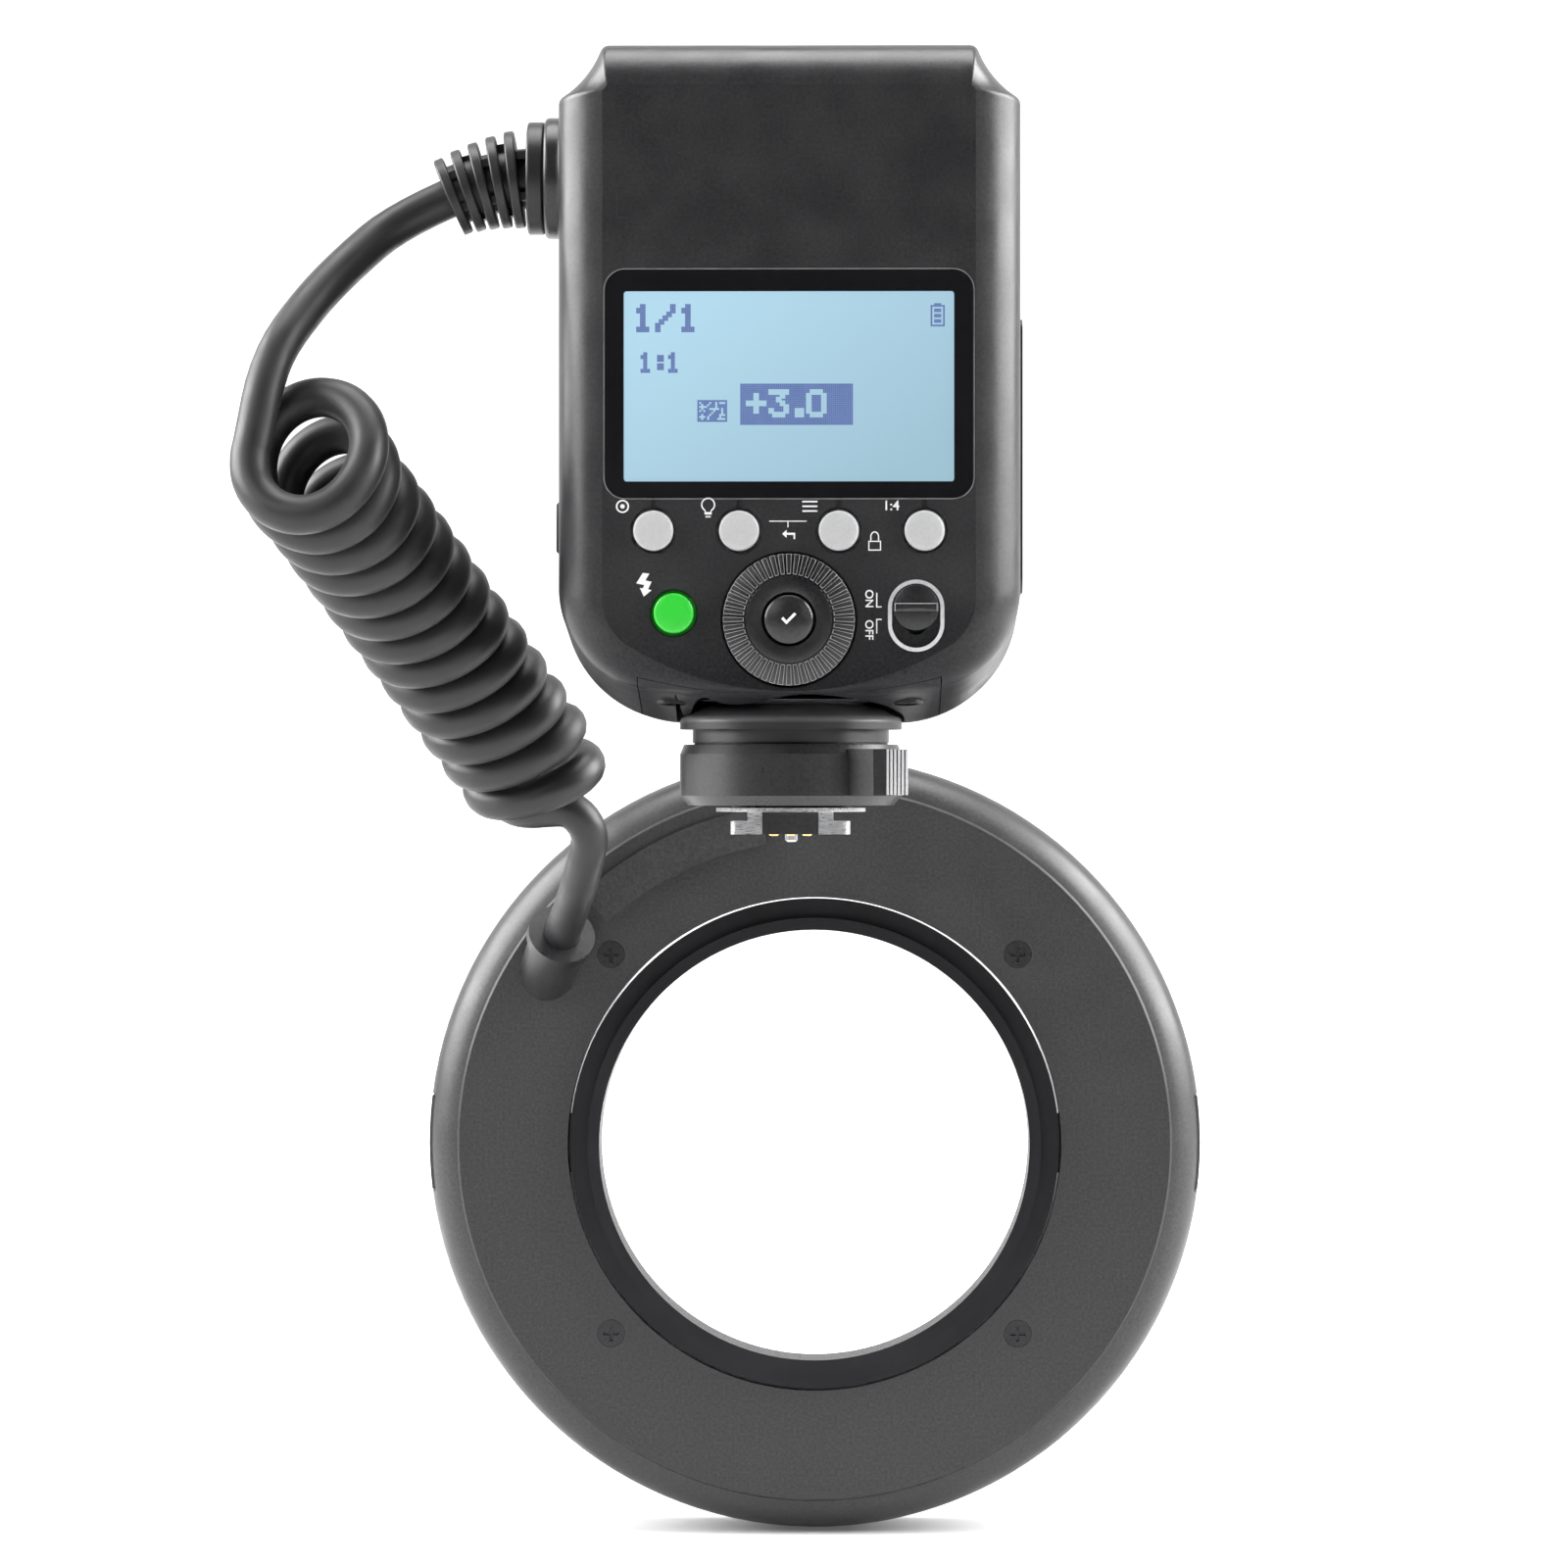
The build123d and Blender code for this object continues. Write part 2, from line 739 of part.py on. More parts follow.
def rear_openings():
    """Everything that is cut into the rear face."""
    start_y = body_rear_y - cut_overrun
    through_y = shell_inner_y + cut_overrun
    bezel = RectangleRounded(bezel_width + 2 * fit_gap, bezel_height + 2 * fit_gap, bezel_corner)
    window = RectangleRounded(window_width, window_height, window_corner)
    cuts = [
        prism(Pos(0, bezel_centre_z) * bezel, start_y, body_rear_y + bezel_thickness - bezel_proud),
        prism(Pos(0, window_centre_z) * window, start_y, through_y),
        disc(0, dial_centre_z, dial_radius + running_gap, start_y, body_rear_y + dial_pocket_depth),
        disc(0, dial_centre_z, dial_hub_radius + running_gap, start_y, through_y),
    ]
    hole_radius = key_radius + running_gap
    edge_radius = hole_radius + key_hole_edge
    hole = [
        Polyline((0, start_y), (edge_radius, start_y), (edge_radius, body_rear_y)),
        Line((edge_radius, body_rear_y), (hole_radius, body_rear_y + key_hole_edge)),
        Line((hole_radius, body_rear_y + key_hole_edge), (hole_radius, through_y)),
        Polyline((hole_radius, through_y), (0, through_y), (0, start_y)),
    ]
    for x, z in key_places():
        cuts.append(forward_turned(hole, x, z))
        if z == key_row_z:
            notch = (x - key_notch_width / 2, x + key_notch_width / 2)
            notch_end_y = body_rear_y + key_notch_depth
            cuts.append(block(*notch, start_y, notch_end_y, z + key_radius, bezel_centre_z))
    place = Pos(switch_centre_x, switch_centre_z)
    rim = place * slot(switch_rim_width + 2 * fit_gap, switch_rim_height + 2 * fit_gap)
    cuts.append(prism(rim, start_y, body_rear_y + switch_rim_thickness - switch_rim_proud))
    neck_width = 2 * (switch_neck_radius + running_gap)
    cuts.append(prism(place * slot(neck_width, neck_width + switch_travel), start_y, through_y))
    return cuts


def lcd_bezel():
    """The gloss frame round the display."""
    face = Pos(0, bezel_centre_z) * RectangleRounded(bezel_width, bezel_height, bezel_corner)
    face -= Pos(0, window_centre_z) * RectangleRounded(window_width, window_height, window_corner)
    rear_y = body_rear_y - bezel_proud
    return prism(face, rear_y, rear_y + bezel_thickness - fit_gap)


def lcd_panel():
    """The lit display, with a lip behind the wall and its back on the board."""
    glass = RectangleRounded(
        window_width - 2 * fit_gap, window_height - 2 * fit_gap, window_corner
    )
    lip = RectangleRounded(
        window_width + 2 * panel_lip, window_height + 2 * panel_lip, window_corner
    )
    place = Pos(0, window_centre_z)
    panel = prism(place * glass, body_rear_y + panel_recess, board_rear_y)
    return panel + prism(place * lip, shell_inner_y + fit_gap, board_rear_y)


def push_key(x, z):
    """A round button with a flange behind the wall."""
    cap = disc(x, z, key_radius, body_rear_y - key_proud, key_flange_y + key_flange_thickness)
    rim = cap.edges().sort_by(Axis.Y)[0]
    cap = fillet(rim, radius=key_edge)
    flange_radius_out = key_radius + key_flange_width
    return cap + disc(x, z, flange_radius_out, key_flange_y, key_flange_y + key_flange_thickness)


def main_board():
    """The circuit board behind the rear wall, with the switch cans under the buttons."""
    board = prism(
        Pos(0, board_centre_z) * Rectangle(board_width, board_height),
        board_rear_y + fit_gap,
        board_rear_y + board_thickness,
    )
    board = board & body_form(shell_wall + board_edge_gap)
    for x, z in key_places():
        board += disc(x, z, switch_can_radius, can_rear_y, board_rear_y + board_thickness)
    board += prism(
        Pos(switch_centre_x, switch_centre_z) * Rectangle(switch_can_width, switch_can_width),
        key_flange_y + switch_plate_thickness + running_gap,
        board_rear_y + board_thickness,
    )
    posts = [
        disc(x, z, screw_post_radius + running_gap, body_rear_y, body_front_y)
        for x in (-shell_screw_x, shell_screw_x)
        for z in (shell_screw_low_z, shell_screw_top_z)
    ]
    return board - posts


def dial():
    """The ribbed control wheel with its hub through the wall."""
    top_y = body_rear_y - dial_proud
    seat_y = body_rear_y + dial_pocket_depth - running_gap
    hub_end_y = shell_inner_y + running_gap + dial_lip_thickness
    bore = set_button_radius + running_gap
    outline = Polyline(
        (bore, top_y),
        (dial_radius - dial_bevel_width, top_y),
        (dial_radius, top_y + dial_bevel_height),
        (dial_radius, seat_y),
        (dial_hub_radius, seat_y),
        (dial_hub_radius, shell_inner_y + running_gap),
        (dial_hub_radius + dial_lip_width, shell_inner_y + running_gap),
        (dial_hub_radius + dial_lip_width, hub_end_y),
        (bore, hub_end_y),
        close=True,
    )
    wheel = forward_turned(outline, 0, dial_centre_z)
    slope = degrees(asin(dial_bevel_height / dial_bevel_width))
    rib_pitch = 2 * pi * dial_radius / dial_rib_count
    groove = Box(dial_bevel_width + cut_overrun, 2 * dial_rib_depth, rib_pitch / 2)
    middle_radius = dial_radius - dial_bevel_width / 2
    grooves = []
    for i in range(dial_rib_count):
        turn = Rot(0, 360 * i / dial_rib_count, 0)
        tilt = Pos(middle_radius, top_y + dial_bevel_height / 2, 0) * Rot(0, 0, slope)
        grooves.append(Pos(0, 0, dial_centre_z) * turn * tilt * groove)
    return wheel - grooves


def dial_encoder():
    """The encoder that the dial turns, seated on the board."""
    hub_end_y = shell_inner_y + running_gap + dial_lip_thickness
    return disc(0, dial_centre_z, encoder_radius, hub_end_y + running_gap, board_rear_y)


def set_button():
    """The domed button in the middle of the dial."""
    hub_end_y = shell_inner_y + running_gap + dial_lip_thickness
    end_y = hub_end_y - key_travel
    rim_y = body_rear_y - dial_proud
    ball_radius = (set_button_radius**2 + set_button_dome**2) / (2 * set_button_dome)
    column = disc(0, dial_centre_z, set_button_radius, rim_y - set_button_dome, end_y)
    ball = Pos(0, rim_y - set_button_dome + ball_radius, dial_centre_z) * Sphere(ball_radius)
    return column & ball


def switch_rim():
    """The bright rim round the power switch."""
    rim = slot(switch_rim_width, switch_rim_height) - slot(slot_inner_width, slot_inner_height)
    rear_y = body_rear_y - switch_rim_proud
    face = Pos(switch_centre_x, switch_centre_z) * rim
    return prism(face, rear_y, rear_y + switch_rim_thickness - fit_gap)


def power_switch():
    """The sliding knob with a ridge, its neck and the plate behind the wall."""
    knob_y = body_rear_y - switch_knob_proud
    floor_y = body_rear_y + switch_rim_thickness - switch_rim_proud - running_gap
    x = switch_centre_x
    z = knob_rest_z
    knob = disc(x, z, switch_knob_radius, knob_y, floor_y)
    ridge = Pos(x, z) * Rectangle(2 * switch_knob_radius, switch_ridge_thickness)
    ridge = prism(ridge, knob_y - switch_ridge_thickness, floor_y)
    limit = disc(x, z, switch_knob_radius, knob_y - switch_knob_radius, floor_y)
    neck = disc(x, z, switch_neck_radius, floor_y - key_edge, key_flange_y)
    plate = Pos(x, z) * Rectangle(switch_plate_width, switch_plate_width)
    plate = prism(plate, key_flange_y, key_flange_y + switch_plate_thickness)
    return knob + (ridge & limit) + neck + plate


def battery_pack():
    """The battery in its bay."""
    outline = Pos(0, battery_centre_z) * RectangleRounded(
        battery_thickness, battery_height, battery_corner
    )
    plane = Plane(origin=(battery_inner_x, 0, 0), x_dir=(0, 1, 0), z_dir=(1, 0, 0))
    return extrude(plane * outline, amount=battery_length)


def battery_cap():
    """The battery's outer panel with its grip grooves."""
    outline = Pos(0, battery_centre_z) * RectangleRounded(
        battery_cap_depth, battery_cap_height, battery_cap_corner
    )
    plane = Plane(origin=(battery_outer_x, 0, 0), x_dir=(0, 1, 0), z_dir=(1, 0, 0))
    cap = extrude(plane * outline, amount=battery_cap_x - battery_outer_x)
    first_y = -battery_groove_pitch * (battery_groove_count - 1) / 2
    for i in range(battery_groove_count):
        groove = Box(2 * battery_groove_depth, battery_groove_width, battery_groove_height)
        cap -= Pos(battery_cap_x, first_y + i * battery_groove_pitch, battery_centre_z) * groove
    return cap


def battery_bay():
    """The open tray that guides the battery."""
    half_depth = bay_depth / 2
    half_height = bay_height / 2
    outer = block(
        bay_inner_x - bay_wall,
        battery_outer_x - 2 * running_gap,
        -half_depth - bay_wall,
        half_depth + bay_wall,
        battery_centre_z - half_height - bay_wall,
        battery_centre_z + half_height + bay_wall,
    )
    room = block(
        bay_inner_x,
        battery_outer_x,
        -half_depth,
        half_depth,
        battery_centre_z - half_height,
        battery_centre_z + half_height,
    )
    return outer - room


def battery_contacts():
    """Three contact blades at the end of the bay."""
    blades = []
    for i in (-1, 0, 1):
        y = i * contact_spacing
        blades.append(
            block(
                bay_inner_x,
                bay_inner_x + contact_depth,
                y - contact_width / 2,
                y + contact_width / 2,
                battery_centre_z - contact_height / 2,
                battery_centre_z + contact_height / 2,
            )
        )
    return Compound(children=blades)


def flash_capacitor():
    """The round capacitor on top of the battery bay."""
    can = Cylinder(capacitor_radius, capacitor_length)
    can = fillet(can.edges(), radius=capacitor_edge)
    return Pos(0, capacitor_centre_y, capacitor_centre_z) * Rot(0, 90, 0) * can


def power_board():
    """The circuit board on the end of the battery bay."""
    face_x = bay_inner_x - bay_wall - fit_gap
    return block(
        face_x - board_thickness,
        face_x,
        -power_board_depth / 2,
        power_board_depth / 2,
        battery_centre_z - power_board_height / 2,
        battery_centre_z + power_board_height / 2,
    )


def usb_port():
    """The metal socket in the left side with its tongue."""
    back_x = bay_inner_x - bay_wall - 2 * fit_gap - board_thickness
    front_x = side_x + port_cover_thickness + running_gap
    half_width = usb_width / 2
    low_z = usb_centre_z - usb_height / 2
    top_z = usb_centre_z + usb_height / 2
    can = block(
        front_x, back_x, usb_centre_y - half_width, usb_centre_y + half_width, low_z, top_z
    )
    can -= block(
        front_x - cut_overrun,
        back_x - usb_wall,
        usb_centre_y - half_width + usb_wall,
        usb_centre_y + half_width - usb_wall,
        low_z + usb_wall,
        top_z - usb_wall,
    )
    return can + block(
        front_x + usb_height / 2,
        back_x,
        usb_centre_y - half_width / 2,
        usb_centre_y + half_width / 2,
        usb_centre_z - usb_tongue_thickness / 2,
        usb_centre_z + usb_tongue_thickness / 2,
    )


def port_cover():
    """The flap over the socket, hinged along its upper edge, with its thumb tab."""
    outer_x = side_x - port_cover_proud
    thickness = port_cover_proud + port_cover_thickness - running_gap
    flap = side_prism(
        side_sketch(
            port_cover_centre_y,
            port_cover_low_z,
            port_cover_depth,
            port_cover_height,
            port_cover_corner,
        ),
        outer_x,
        thickness,
    )
    tab = block(
        outer_x - port_tab_reach,
        outer_x + fit_gap,
        port_cover_centre_y - port_tab_width / 2,
        port_cover_centre_y + port_tab_width / 2,
        port_tab_low_z,
        port_tab_low_z + port_tab_height,
    )
    tab = chamfer(tab.faces().sort_by(Axis.X)[0].edges(), length=port_tab_reach / 2)
    hinge_z = port_cover_top_z - port_hinge_radius
    edge = Box(wall_cut_length, port_cover_depth + cut_overrun, 2 * port_hinge_radius)
    place = Pos(outer_x, port_cover_centre_y, port_cover_top_z)
    pin = Rot(90, 0, 0) * Cylinder(port_hinge_radius, port_cover_depth - 2 * port_cover_corner)
    pin = Pos(outer_x + port_hinge_radius, port_cover_centre_y, hinge_z) * pin
    return flap - place * edge + tab + pin


def side_panel():
    """The flush panel above the port cover."""
    return side_prism(
        side_sketch(
            port_cover_centre_y,
            side_panel_low_z,
            side_panel_depth,
            side_panel_height,
            port_cover_corner,
        ),
        side_x - side_panel_proud,
        side_panel_proud + side_panel_thickness - fit_gap,
    )


def lamp_window():
    """The dark window in the controller's front."""
    window = Pos(0, lamp_window_centre_z) * RectangleRounded(
        lamp_window_width, lamp_window_height, lamp_window_corner
    )
    return prism(window, body_front_y - 2 * shell_wall, body_front_y + lamp_window_proud)


def cord_socket():
    """The round collar on the controller's left side."""
    outer_x = side_x - fit_gap - socket_thickness
    collar = Rot(0, 90, 0) * Cylinder(socket_radius, socket_thickness)
    collar = fillet(collar.edges().sort_by(Axis.X)[0], radius=socket_round)
    neck = Rot(0, 90, 0) * Cylinder(socket_neck_radius, socket_neck_length)
    collar = Pos(outer_x + socket_thickness / 2, 0, 0) * collar
    inner_x = side_x - fit_gap
    curve_x = inner_x - socket_flare * (1 - sqrt(1 / 2))
    curve_radius = socket_radius + socket_flare * (1 - sqrt(1 / 2))
    lines = [
        Line((inner_x, 0), (inner_x, socket_radius + socket_flare)),
        ThreePointArc(
            (inner_x, socket_radius + socket_flare),
            (curve_x, curve_radius),
            (inner_x - socket_flare, socket_radius),
        ),
        Line((inner_x - socket_flare, socket_radius), (inner_x - socket_flare, 0)),
        Line((inner_x - socket_flare, 0), (inner_x, 0)),
    ]
    collar += revolve(behind_plane(0) * make_face(lines), axis=Axis.X)
    collar += Pos(side_x - fit_gap + socket_neck_length / 2, 0, 0) * neck
    return Pos(0, socket_centre_y, socket_centre_z) * collar


def gland_spot(share):
    """Where the drooping strain relief's middle line lies, as a plane along it."""
    droop = gland_start_droop + (gland_end_droop - gland_start_droop) * share
    start = radians(gland_start_droop)
    here = radians(droop)
    x = gland_root_x - gland_bend_radius * (sin(here) - sin(start))
    z = socket_centre_z - gland_bend_radius * (cos(start) - cos(here))
    return Plane(origin=(x, socket_centre_y, z), x_dir=(0, 1, 0), z_dir=(-cos(here), 0, -sin(here)))


def cord_gland():
    """The ribbed strain relief that droops from the controller's side."""
    flange = Rot(0, 90, 0) * Cylinder(gland_flange_radius, gland_flange_thickness - fit_gap)
    flange = fillet(flange.edges(), radius=gland_flange_round)
    flange_x = gland_root_x + (gland_flange_thickness - fit_gap) / 2
    body = Pos(flange_x, socket_centre_y, socket_centre_z) * flange
    start = gland_spot(0)
    end = gland_spot(1)
    spine = ThreePointArc(start.origin, gland_spot(1 / 2).origin, end.origin)
    body += sweep(start * Circle(gland_core_radius), path=spine)
    length = radians(gland_end_droop - gland_start_droop) * gland_bend_radius
    rib_share = gland_rib_thickness / length
    gap_share = gland_first_gap / length
    step = (1 - gap_share - rib_share) / (gland_rib_count - 1)
    for i in range(gland_rib_count):
        share = gap_share + rib_share / 2 + i * step
        radius = gland_root_radius + (gland_tip_radius - gland_root_radius) * share
        rib = gland_spot(share).location * Cylinder(radius, gland_rib_thickness)
        body += fillet(rib.edges(), radius=gland_rib_round)
        between = gland_spot(share - step / 2).location
        reach = 2 * radius * gland_bridge_share
        if i % 2 == 0:
            bar = Box(reach, gland_bar_height, step * length)
            body += between * Pos(0, radius * gland_bar_share, 0) * bar
            body += between * Pos(0, -radius * gland_bar_share, 0) * bar
        else:
            body += between * Box(gland_bridge_width, reach, step * length)
    limit = Plane(end.origin, x_dir=end.x_dir, z_dir=end.z_dir)
    past = limit.location * Pos(0, 0, cut_overrun) * Cylinder(2 * gland_root_radius, 2 * cut_overrun)
    return body - past


def foot_flange():
    """The round flange under the controller with the stem that the lock turns on."""
    stem_low_z = lock_low_z - running_gap
    stem_height = flange_low_z - stem_low_z
    middle_z = stem_low_z + stem_height / 2
    flange = flange_form(0) + Pos(0, 0, middle_z) * Cylinder(stem_radius, stem_height)
    pin_room = Cylinder(lock_pin_radius + lock_pin_gap, stem_height)
    return flange - Pos(0, lock_pin_y, middle_z) * pin_room


def shoe_foot():
    """The metal shoe plate with its neck and base."""
    base_top_z = lock_low_z - running_gap - fit_gap
    plate = RectangleRounded(foot_width, foot_depth, foot_corner)
    foot = extrude(plate, amount=foot_plate_thickness)
    neck = Rectangle(foot_neck_width, foot_depth)
    foot += extrude(neck, amount=foot_base_low_z)
    foot += Pos(0, 0, foot_base_low_z) * extrude(
        Circle(foot_base_radius), amount=base_top_z - foot_base_low_z
    )
    foot -= block(
        -contact_block_width / 2,
        contact_block_width / 2,
        -foot_depth / 2 - cut_overrun,
        foot_depth / 2 + cut_overrun,
        -cut_overrun,
        foot_base_low_z,
    )
    pin_room = Cylinder(lock_pin_radius + lock_pin_gap, 2 * base_top_z)
    return foot - Pos(0, lock_pin_y, base_top_z) * pin_room


def contact_block():
    """The black insert in the shoe plate."""
    body = block(
        -contact_block_width / 2 + fit_gap,
        contact_block_width / 2 - fit_gap,
        -foot_depth / 2,
        foot_depth / 2,
        0,
        foot_base_low_z - fit_gap,
    )
    for x, y in contact_pin_places():
        body -= Pos(x, y, 0) * Cylinder(contact_pin_radius + fit_gap, foot_plate_thickness)
    return body - Pos(0, lock_pin_y, 0) * Cylinder(lock_pin_radius + lock_pin_gap, foot_depth)


def contact_pin_places():
    """The middle contact and two pairs behind it."""
    places = [(0, 0)]
    for x in (-contact_pin_spread_x, contact_pin_spread_x):
        for y in (contact_pin_rear_y, contact_pin_rear_y / 2):
            places.append((x, y))
    return places


def contact_pins():
    """The small sprung contacts under the shoe plate."""
    pins = []
    top_z = foot_plate_thickness / 2 - fit_gap
    height = top_z + contact_pin_proud
    for x, y in contact_pin_places():
        pin = Cylinder(contact_pin_radius, height)
        pin = fillet(pin.edges().sort_by(Axis.Z)[0], radius=contact_pin_proud)
        pins.append(Pos(x, y, top_z - height / 2) * pin)
    return Compound(children=pins)


def lock_ring():
    """The lock's turning ring with the lug that carries its grip."""
    bore = stem_radius + running_gap
    ring = upright_turned(
        (
            (bore, lock_low_z),
            (lock_low_radius, lock_low_z),
            (lock_radius, lock_belly_low_z),
            (lock_radius, lock_belly_top_z),
            (lock_top_radius, lock_top_z),
            (bore, lock_top_z),
        )
    )
    root_y = -sqrt(lock_radius**2 - lug_root_x**2)
    outline = Polyline(
        (0, 0),
        (lug_root_x, root_y),
        (lug_step_x, lug_rear_y),
        (lug_grip_x, lug_rear_y),
        (lug_grip_x, lug_front_y),
        close=True,
    )
    lug = Pos(0, 0, lug_low_z) * extrude(make_face(outline), amount=lug_top_z - lug_low_z)
    lug -= grip_zone(0)
    lug -= Cylinder(bore, 2 * lock_top_z)
    return ring - grip_zone(0) + lug


def grip_zone(gap):
    """The room of the bright grip at the end of the lug."""
    return block(
        lug_grip_x + gap,
        grip_reach_x + gap,
        lug_rear_y - gap,
        lug_front_y,
        lug_low_z + gap,
        lug_top_z - gap,
    )


def lock_grip():
    """The bright ribbed end of the lock's lug."""
    grip = block(
        lug_grip_x + fit_gap,
        grip_reach_x,
        lug_rear_y,
        lug_front_y - fit_gap,
        lug_low_z + fit_gap,
        lug_top_z - fit_gap,
    )
    pitch = (grip_reach_x - lug_grip_x) / grip_rib_count
    for i in range(grip_rib_count):
        groove = Box(pitch * grip_rib_share, 2 * grip_rib_depth, 2 * lock_top_z)
        x = lug_grip_x + (i + 1 / 2) * pitch
        grip -= Pos(x, lug_rear_y, 0) * groove
    return grip


def lock_pin():
    """The pin that drops into the shoe when the lock is closed."""
    height = lock_pin_top_z + lock_pin_reach
    pin = Cylinder(lock_pin_radius, height)
    pin = chamfer(pin.edges().sort_by(Axis.Z)[0], length=lock_pin_edge)
    return Pos(0, lock_pin_y, height / 2 - lock_pin_reach) * pin


def screws(spots):
    """One screw at each spot."""
    return Compound(children=[spot * screw() for spot in spots])


def coil_frame(turns):
    """The coil's middle point there and the two directions across it."""
    across = Vector(*coil_lean_across).normalized()
    forward = Vector(0, 1, 0)
    start_lean = radians(coil_start_lean)
    lean = start_lean + turns * coil_pitch / coil_bend_radius
    shift = across * (cos(start_lean) - cos(lean)) + forward * (sin(lean) - sin(start_lean))
    middle = Vector(*coil_start) + shift * coil_bend_radius
    steady = forward.cross(across).normalized()
    leaning = across * cos(lean) - forward * sin(lean)
    return middle, leaning, steady


def coil_point(turns):
    """A point of the curly cord's middle line after a number of turns.

    The turns sag more and more towards the ring head, and the outermost ones are pulled aside
    where the straight cord comes in and leaves.
    """
    middle, leaning, steady = coil_frame(turns)
    angle = radians(coil_start_angle) - 2 * pi * turns
    point = middle + leaning * (coil_radius * cos(angle)) + steady * (coil_radius * sin(angle))
    point -= Vector(0, 0, coil_sag_share * turns * (point.Y - middle.Y))
    for (centre, reach), pull in zip(coil_pull_shares, coil_pulls):
        if abs(turns - centre) < reach:
            point += Vector(*pull) * cos(pi / 2 * (turns - centre) / reach) ** 2
    return point


def coil_tangent(turns):
    """The middle line's direction there, from two points close by."""
    near = coil_tangent_share
    return (coil_point(turns + near) - coil_point(turns - near)).normalized()


def biarc(start, start_tangent, end, end_tangent):
    """Two arcs that join two points and keep both directions."""
    chord = end - start
    together = start_tangent + end_tangent
    square = 2 * (1 - start_tangent.dot(end_tangent))
    half = chord.dot(together)
    reach = (sqrt(half**2 + square * chord.dot(chord)) - half) / square
    first_corner = start + start_tangent * reach
    last_corner = end - end_tangent * reach
    middle = (first_corner + last_corner) / 2
    first = Edge.make_tangent_arc(start, start_tangent, middle)
    second = Edge.make_tangent_arc(middle, last_corner - first_corner, end)
    return [first, second]


def tube(start, edges, direction):
    """A round tube of the cord's size along joined edges."""
    section = Plane(origin=start, z_dir=direction) * Circle(cord_radius)
    return sweep(section, path=Wire(edges))


def coil_ends():
    """The curly cord's two straight end runs, as outer points and directions."""
    lead = cord_radius / 2
    first_direction = coil_tangent(0)
    last_direction = coil_tangent(coil_last)
    first = coil_point(0) - first_direction * lead
    last = coil_point(coil_last) + last_direction * lead
    return first, first_direction, last, last_direction


def cord_coil():
    """The curly part of the cord as one unbroken tube."""
    first, first_direction, last, _ = coil_ends()
    edges = [Edge.make_line(first, coil_point(0))]
    for i in range(round(coil_last / coil_end_share)):
        here = i * coil_end_share
        there = (i + 1) * coil_end_share
        edges += biarc(
            coil_point(here), coil_tangent(here), coil_point(there), coil_tangent(there)
        )
    edges.append(Edge.make_line(coil_point(coil_last), last))
    points = [coil_point(i / gap_steps) for i in range(round(gap_steps * coil_last))]
    least = min(
        (points[i] - points[k]).length
        for i in range(len(points))
        for k in range(i + gap_steps // 2, min(i + 2 * gap_steps, len(points)))
    )
    print("least gap between the cord's turns", round(least - 2 * cord_radius, 3))
    return tube(first, edges, first_direction)


def bend_radii(points):
    """The largest bend that each corner's two runs allow."""
    radii = []
    for before, here, after in zip(points, points[1:], points[2:]):
        arriving = here - before
        leaving = after - here
        shorter = min(arriving.length, leaving.length)
        half_turn = radians(arriving.get_angle(leaving)) / 2
        radii.append(cord_bend_share * shorter / tan(half_turn))
    return radii


def free_cord(name, points):
    """A free stretch of the cord, straight runs joined by arcs."""
    radii = bend_radii(points)
    runs = [(b - a).length for a, b in zip(points, points[1:])]
    print(name, "runs", [round(r, 1) for r in runs], "radii", [round(r, 1) for r in radii])
    path = FilletPolyline(*points, radius=radii)
    stretch = tube(points[0], path.edges(), points[1] - points[0])
    print(name, "volume share", round(stretch.volume / (pi * cord_radius**2 * path.length), 4))
    return stretch


def cord_top():
    """The cord from the strain relief to the coil."""
    first, first_direction = coil_ends()[:2]
    tip = gland_spot(1)
    points = [tip.origin, tip.origin + tip.z_dir * cord_end_run]
    points += [Vector(*p) for p in cord_top_points]
    points += [first - first_direction * cord_coil_run, first]
    return free_cord("cord_top", points)


def cord_bottom():
    """The cord from the coil to the ring head's boss."""
    last, last_direction = coil_ends()[2:]
    mouth = boss_spot()
    direction = mouth.z_dir
    end = mouth.origin + direction * (boss_bore_depth - fit_gap)
    points = [last, last + last_direction * cord_turn_run]
    points += [Vector(*p) for p in cord_bottom_points]
    points += [end - direction * cord_end_run, end]
    return free_cord("cord_bottom", points)


def boss_spot():
    """The plane across the ring head's cord boss at its mouth."""
    x, z = ring_spot(ring_radius - boss_inset, boss_angle)
    return Plane(origin=(x, boss_mouth_y, z), z_dir=boss_direction)


def ring_gland():
    """The boss on the ring head's rear face that the cord runs into."""
    place = boss_spot().location
    boss = place * Pos(0, 0, boss_length / 2) * Cylinder(boss_radius, boss_length)
    boss += place * Pos(0, 0, boss_lip_length / 2) * Cylinder(boss_lip_radius, boss_lip_length)
    far = ring_radius
    boss &= block(-far, far, 0, ring_rear_y - fit_gap, -far, far)
    bore = Cylinder(cord_radius + fit_gap, 2 * boss_bore_depth)
    return boss - place * bore


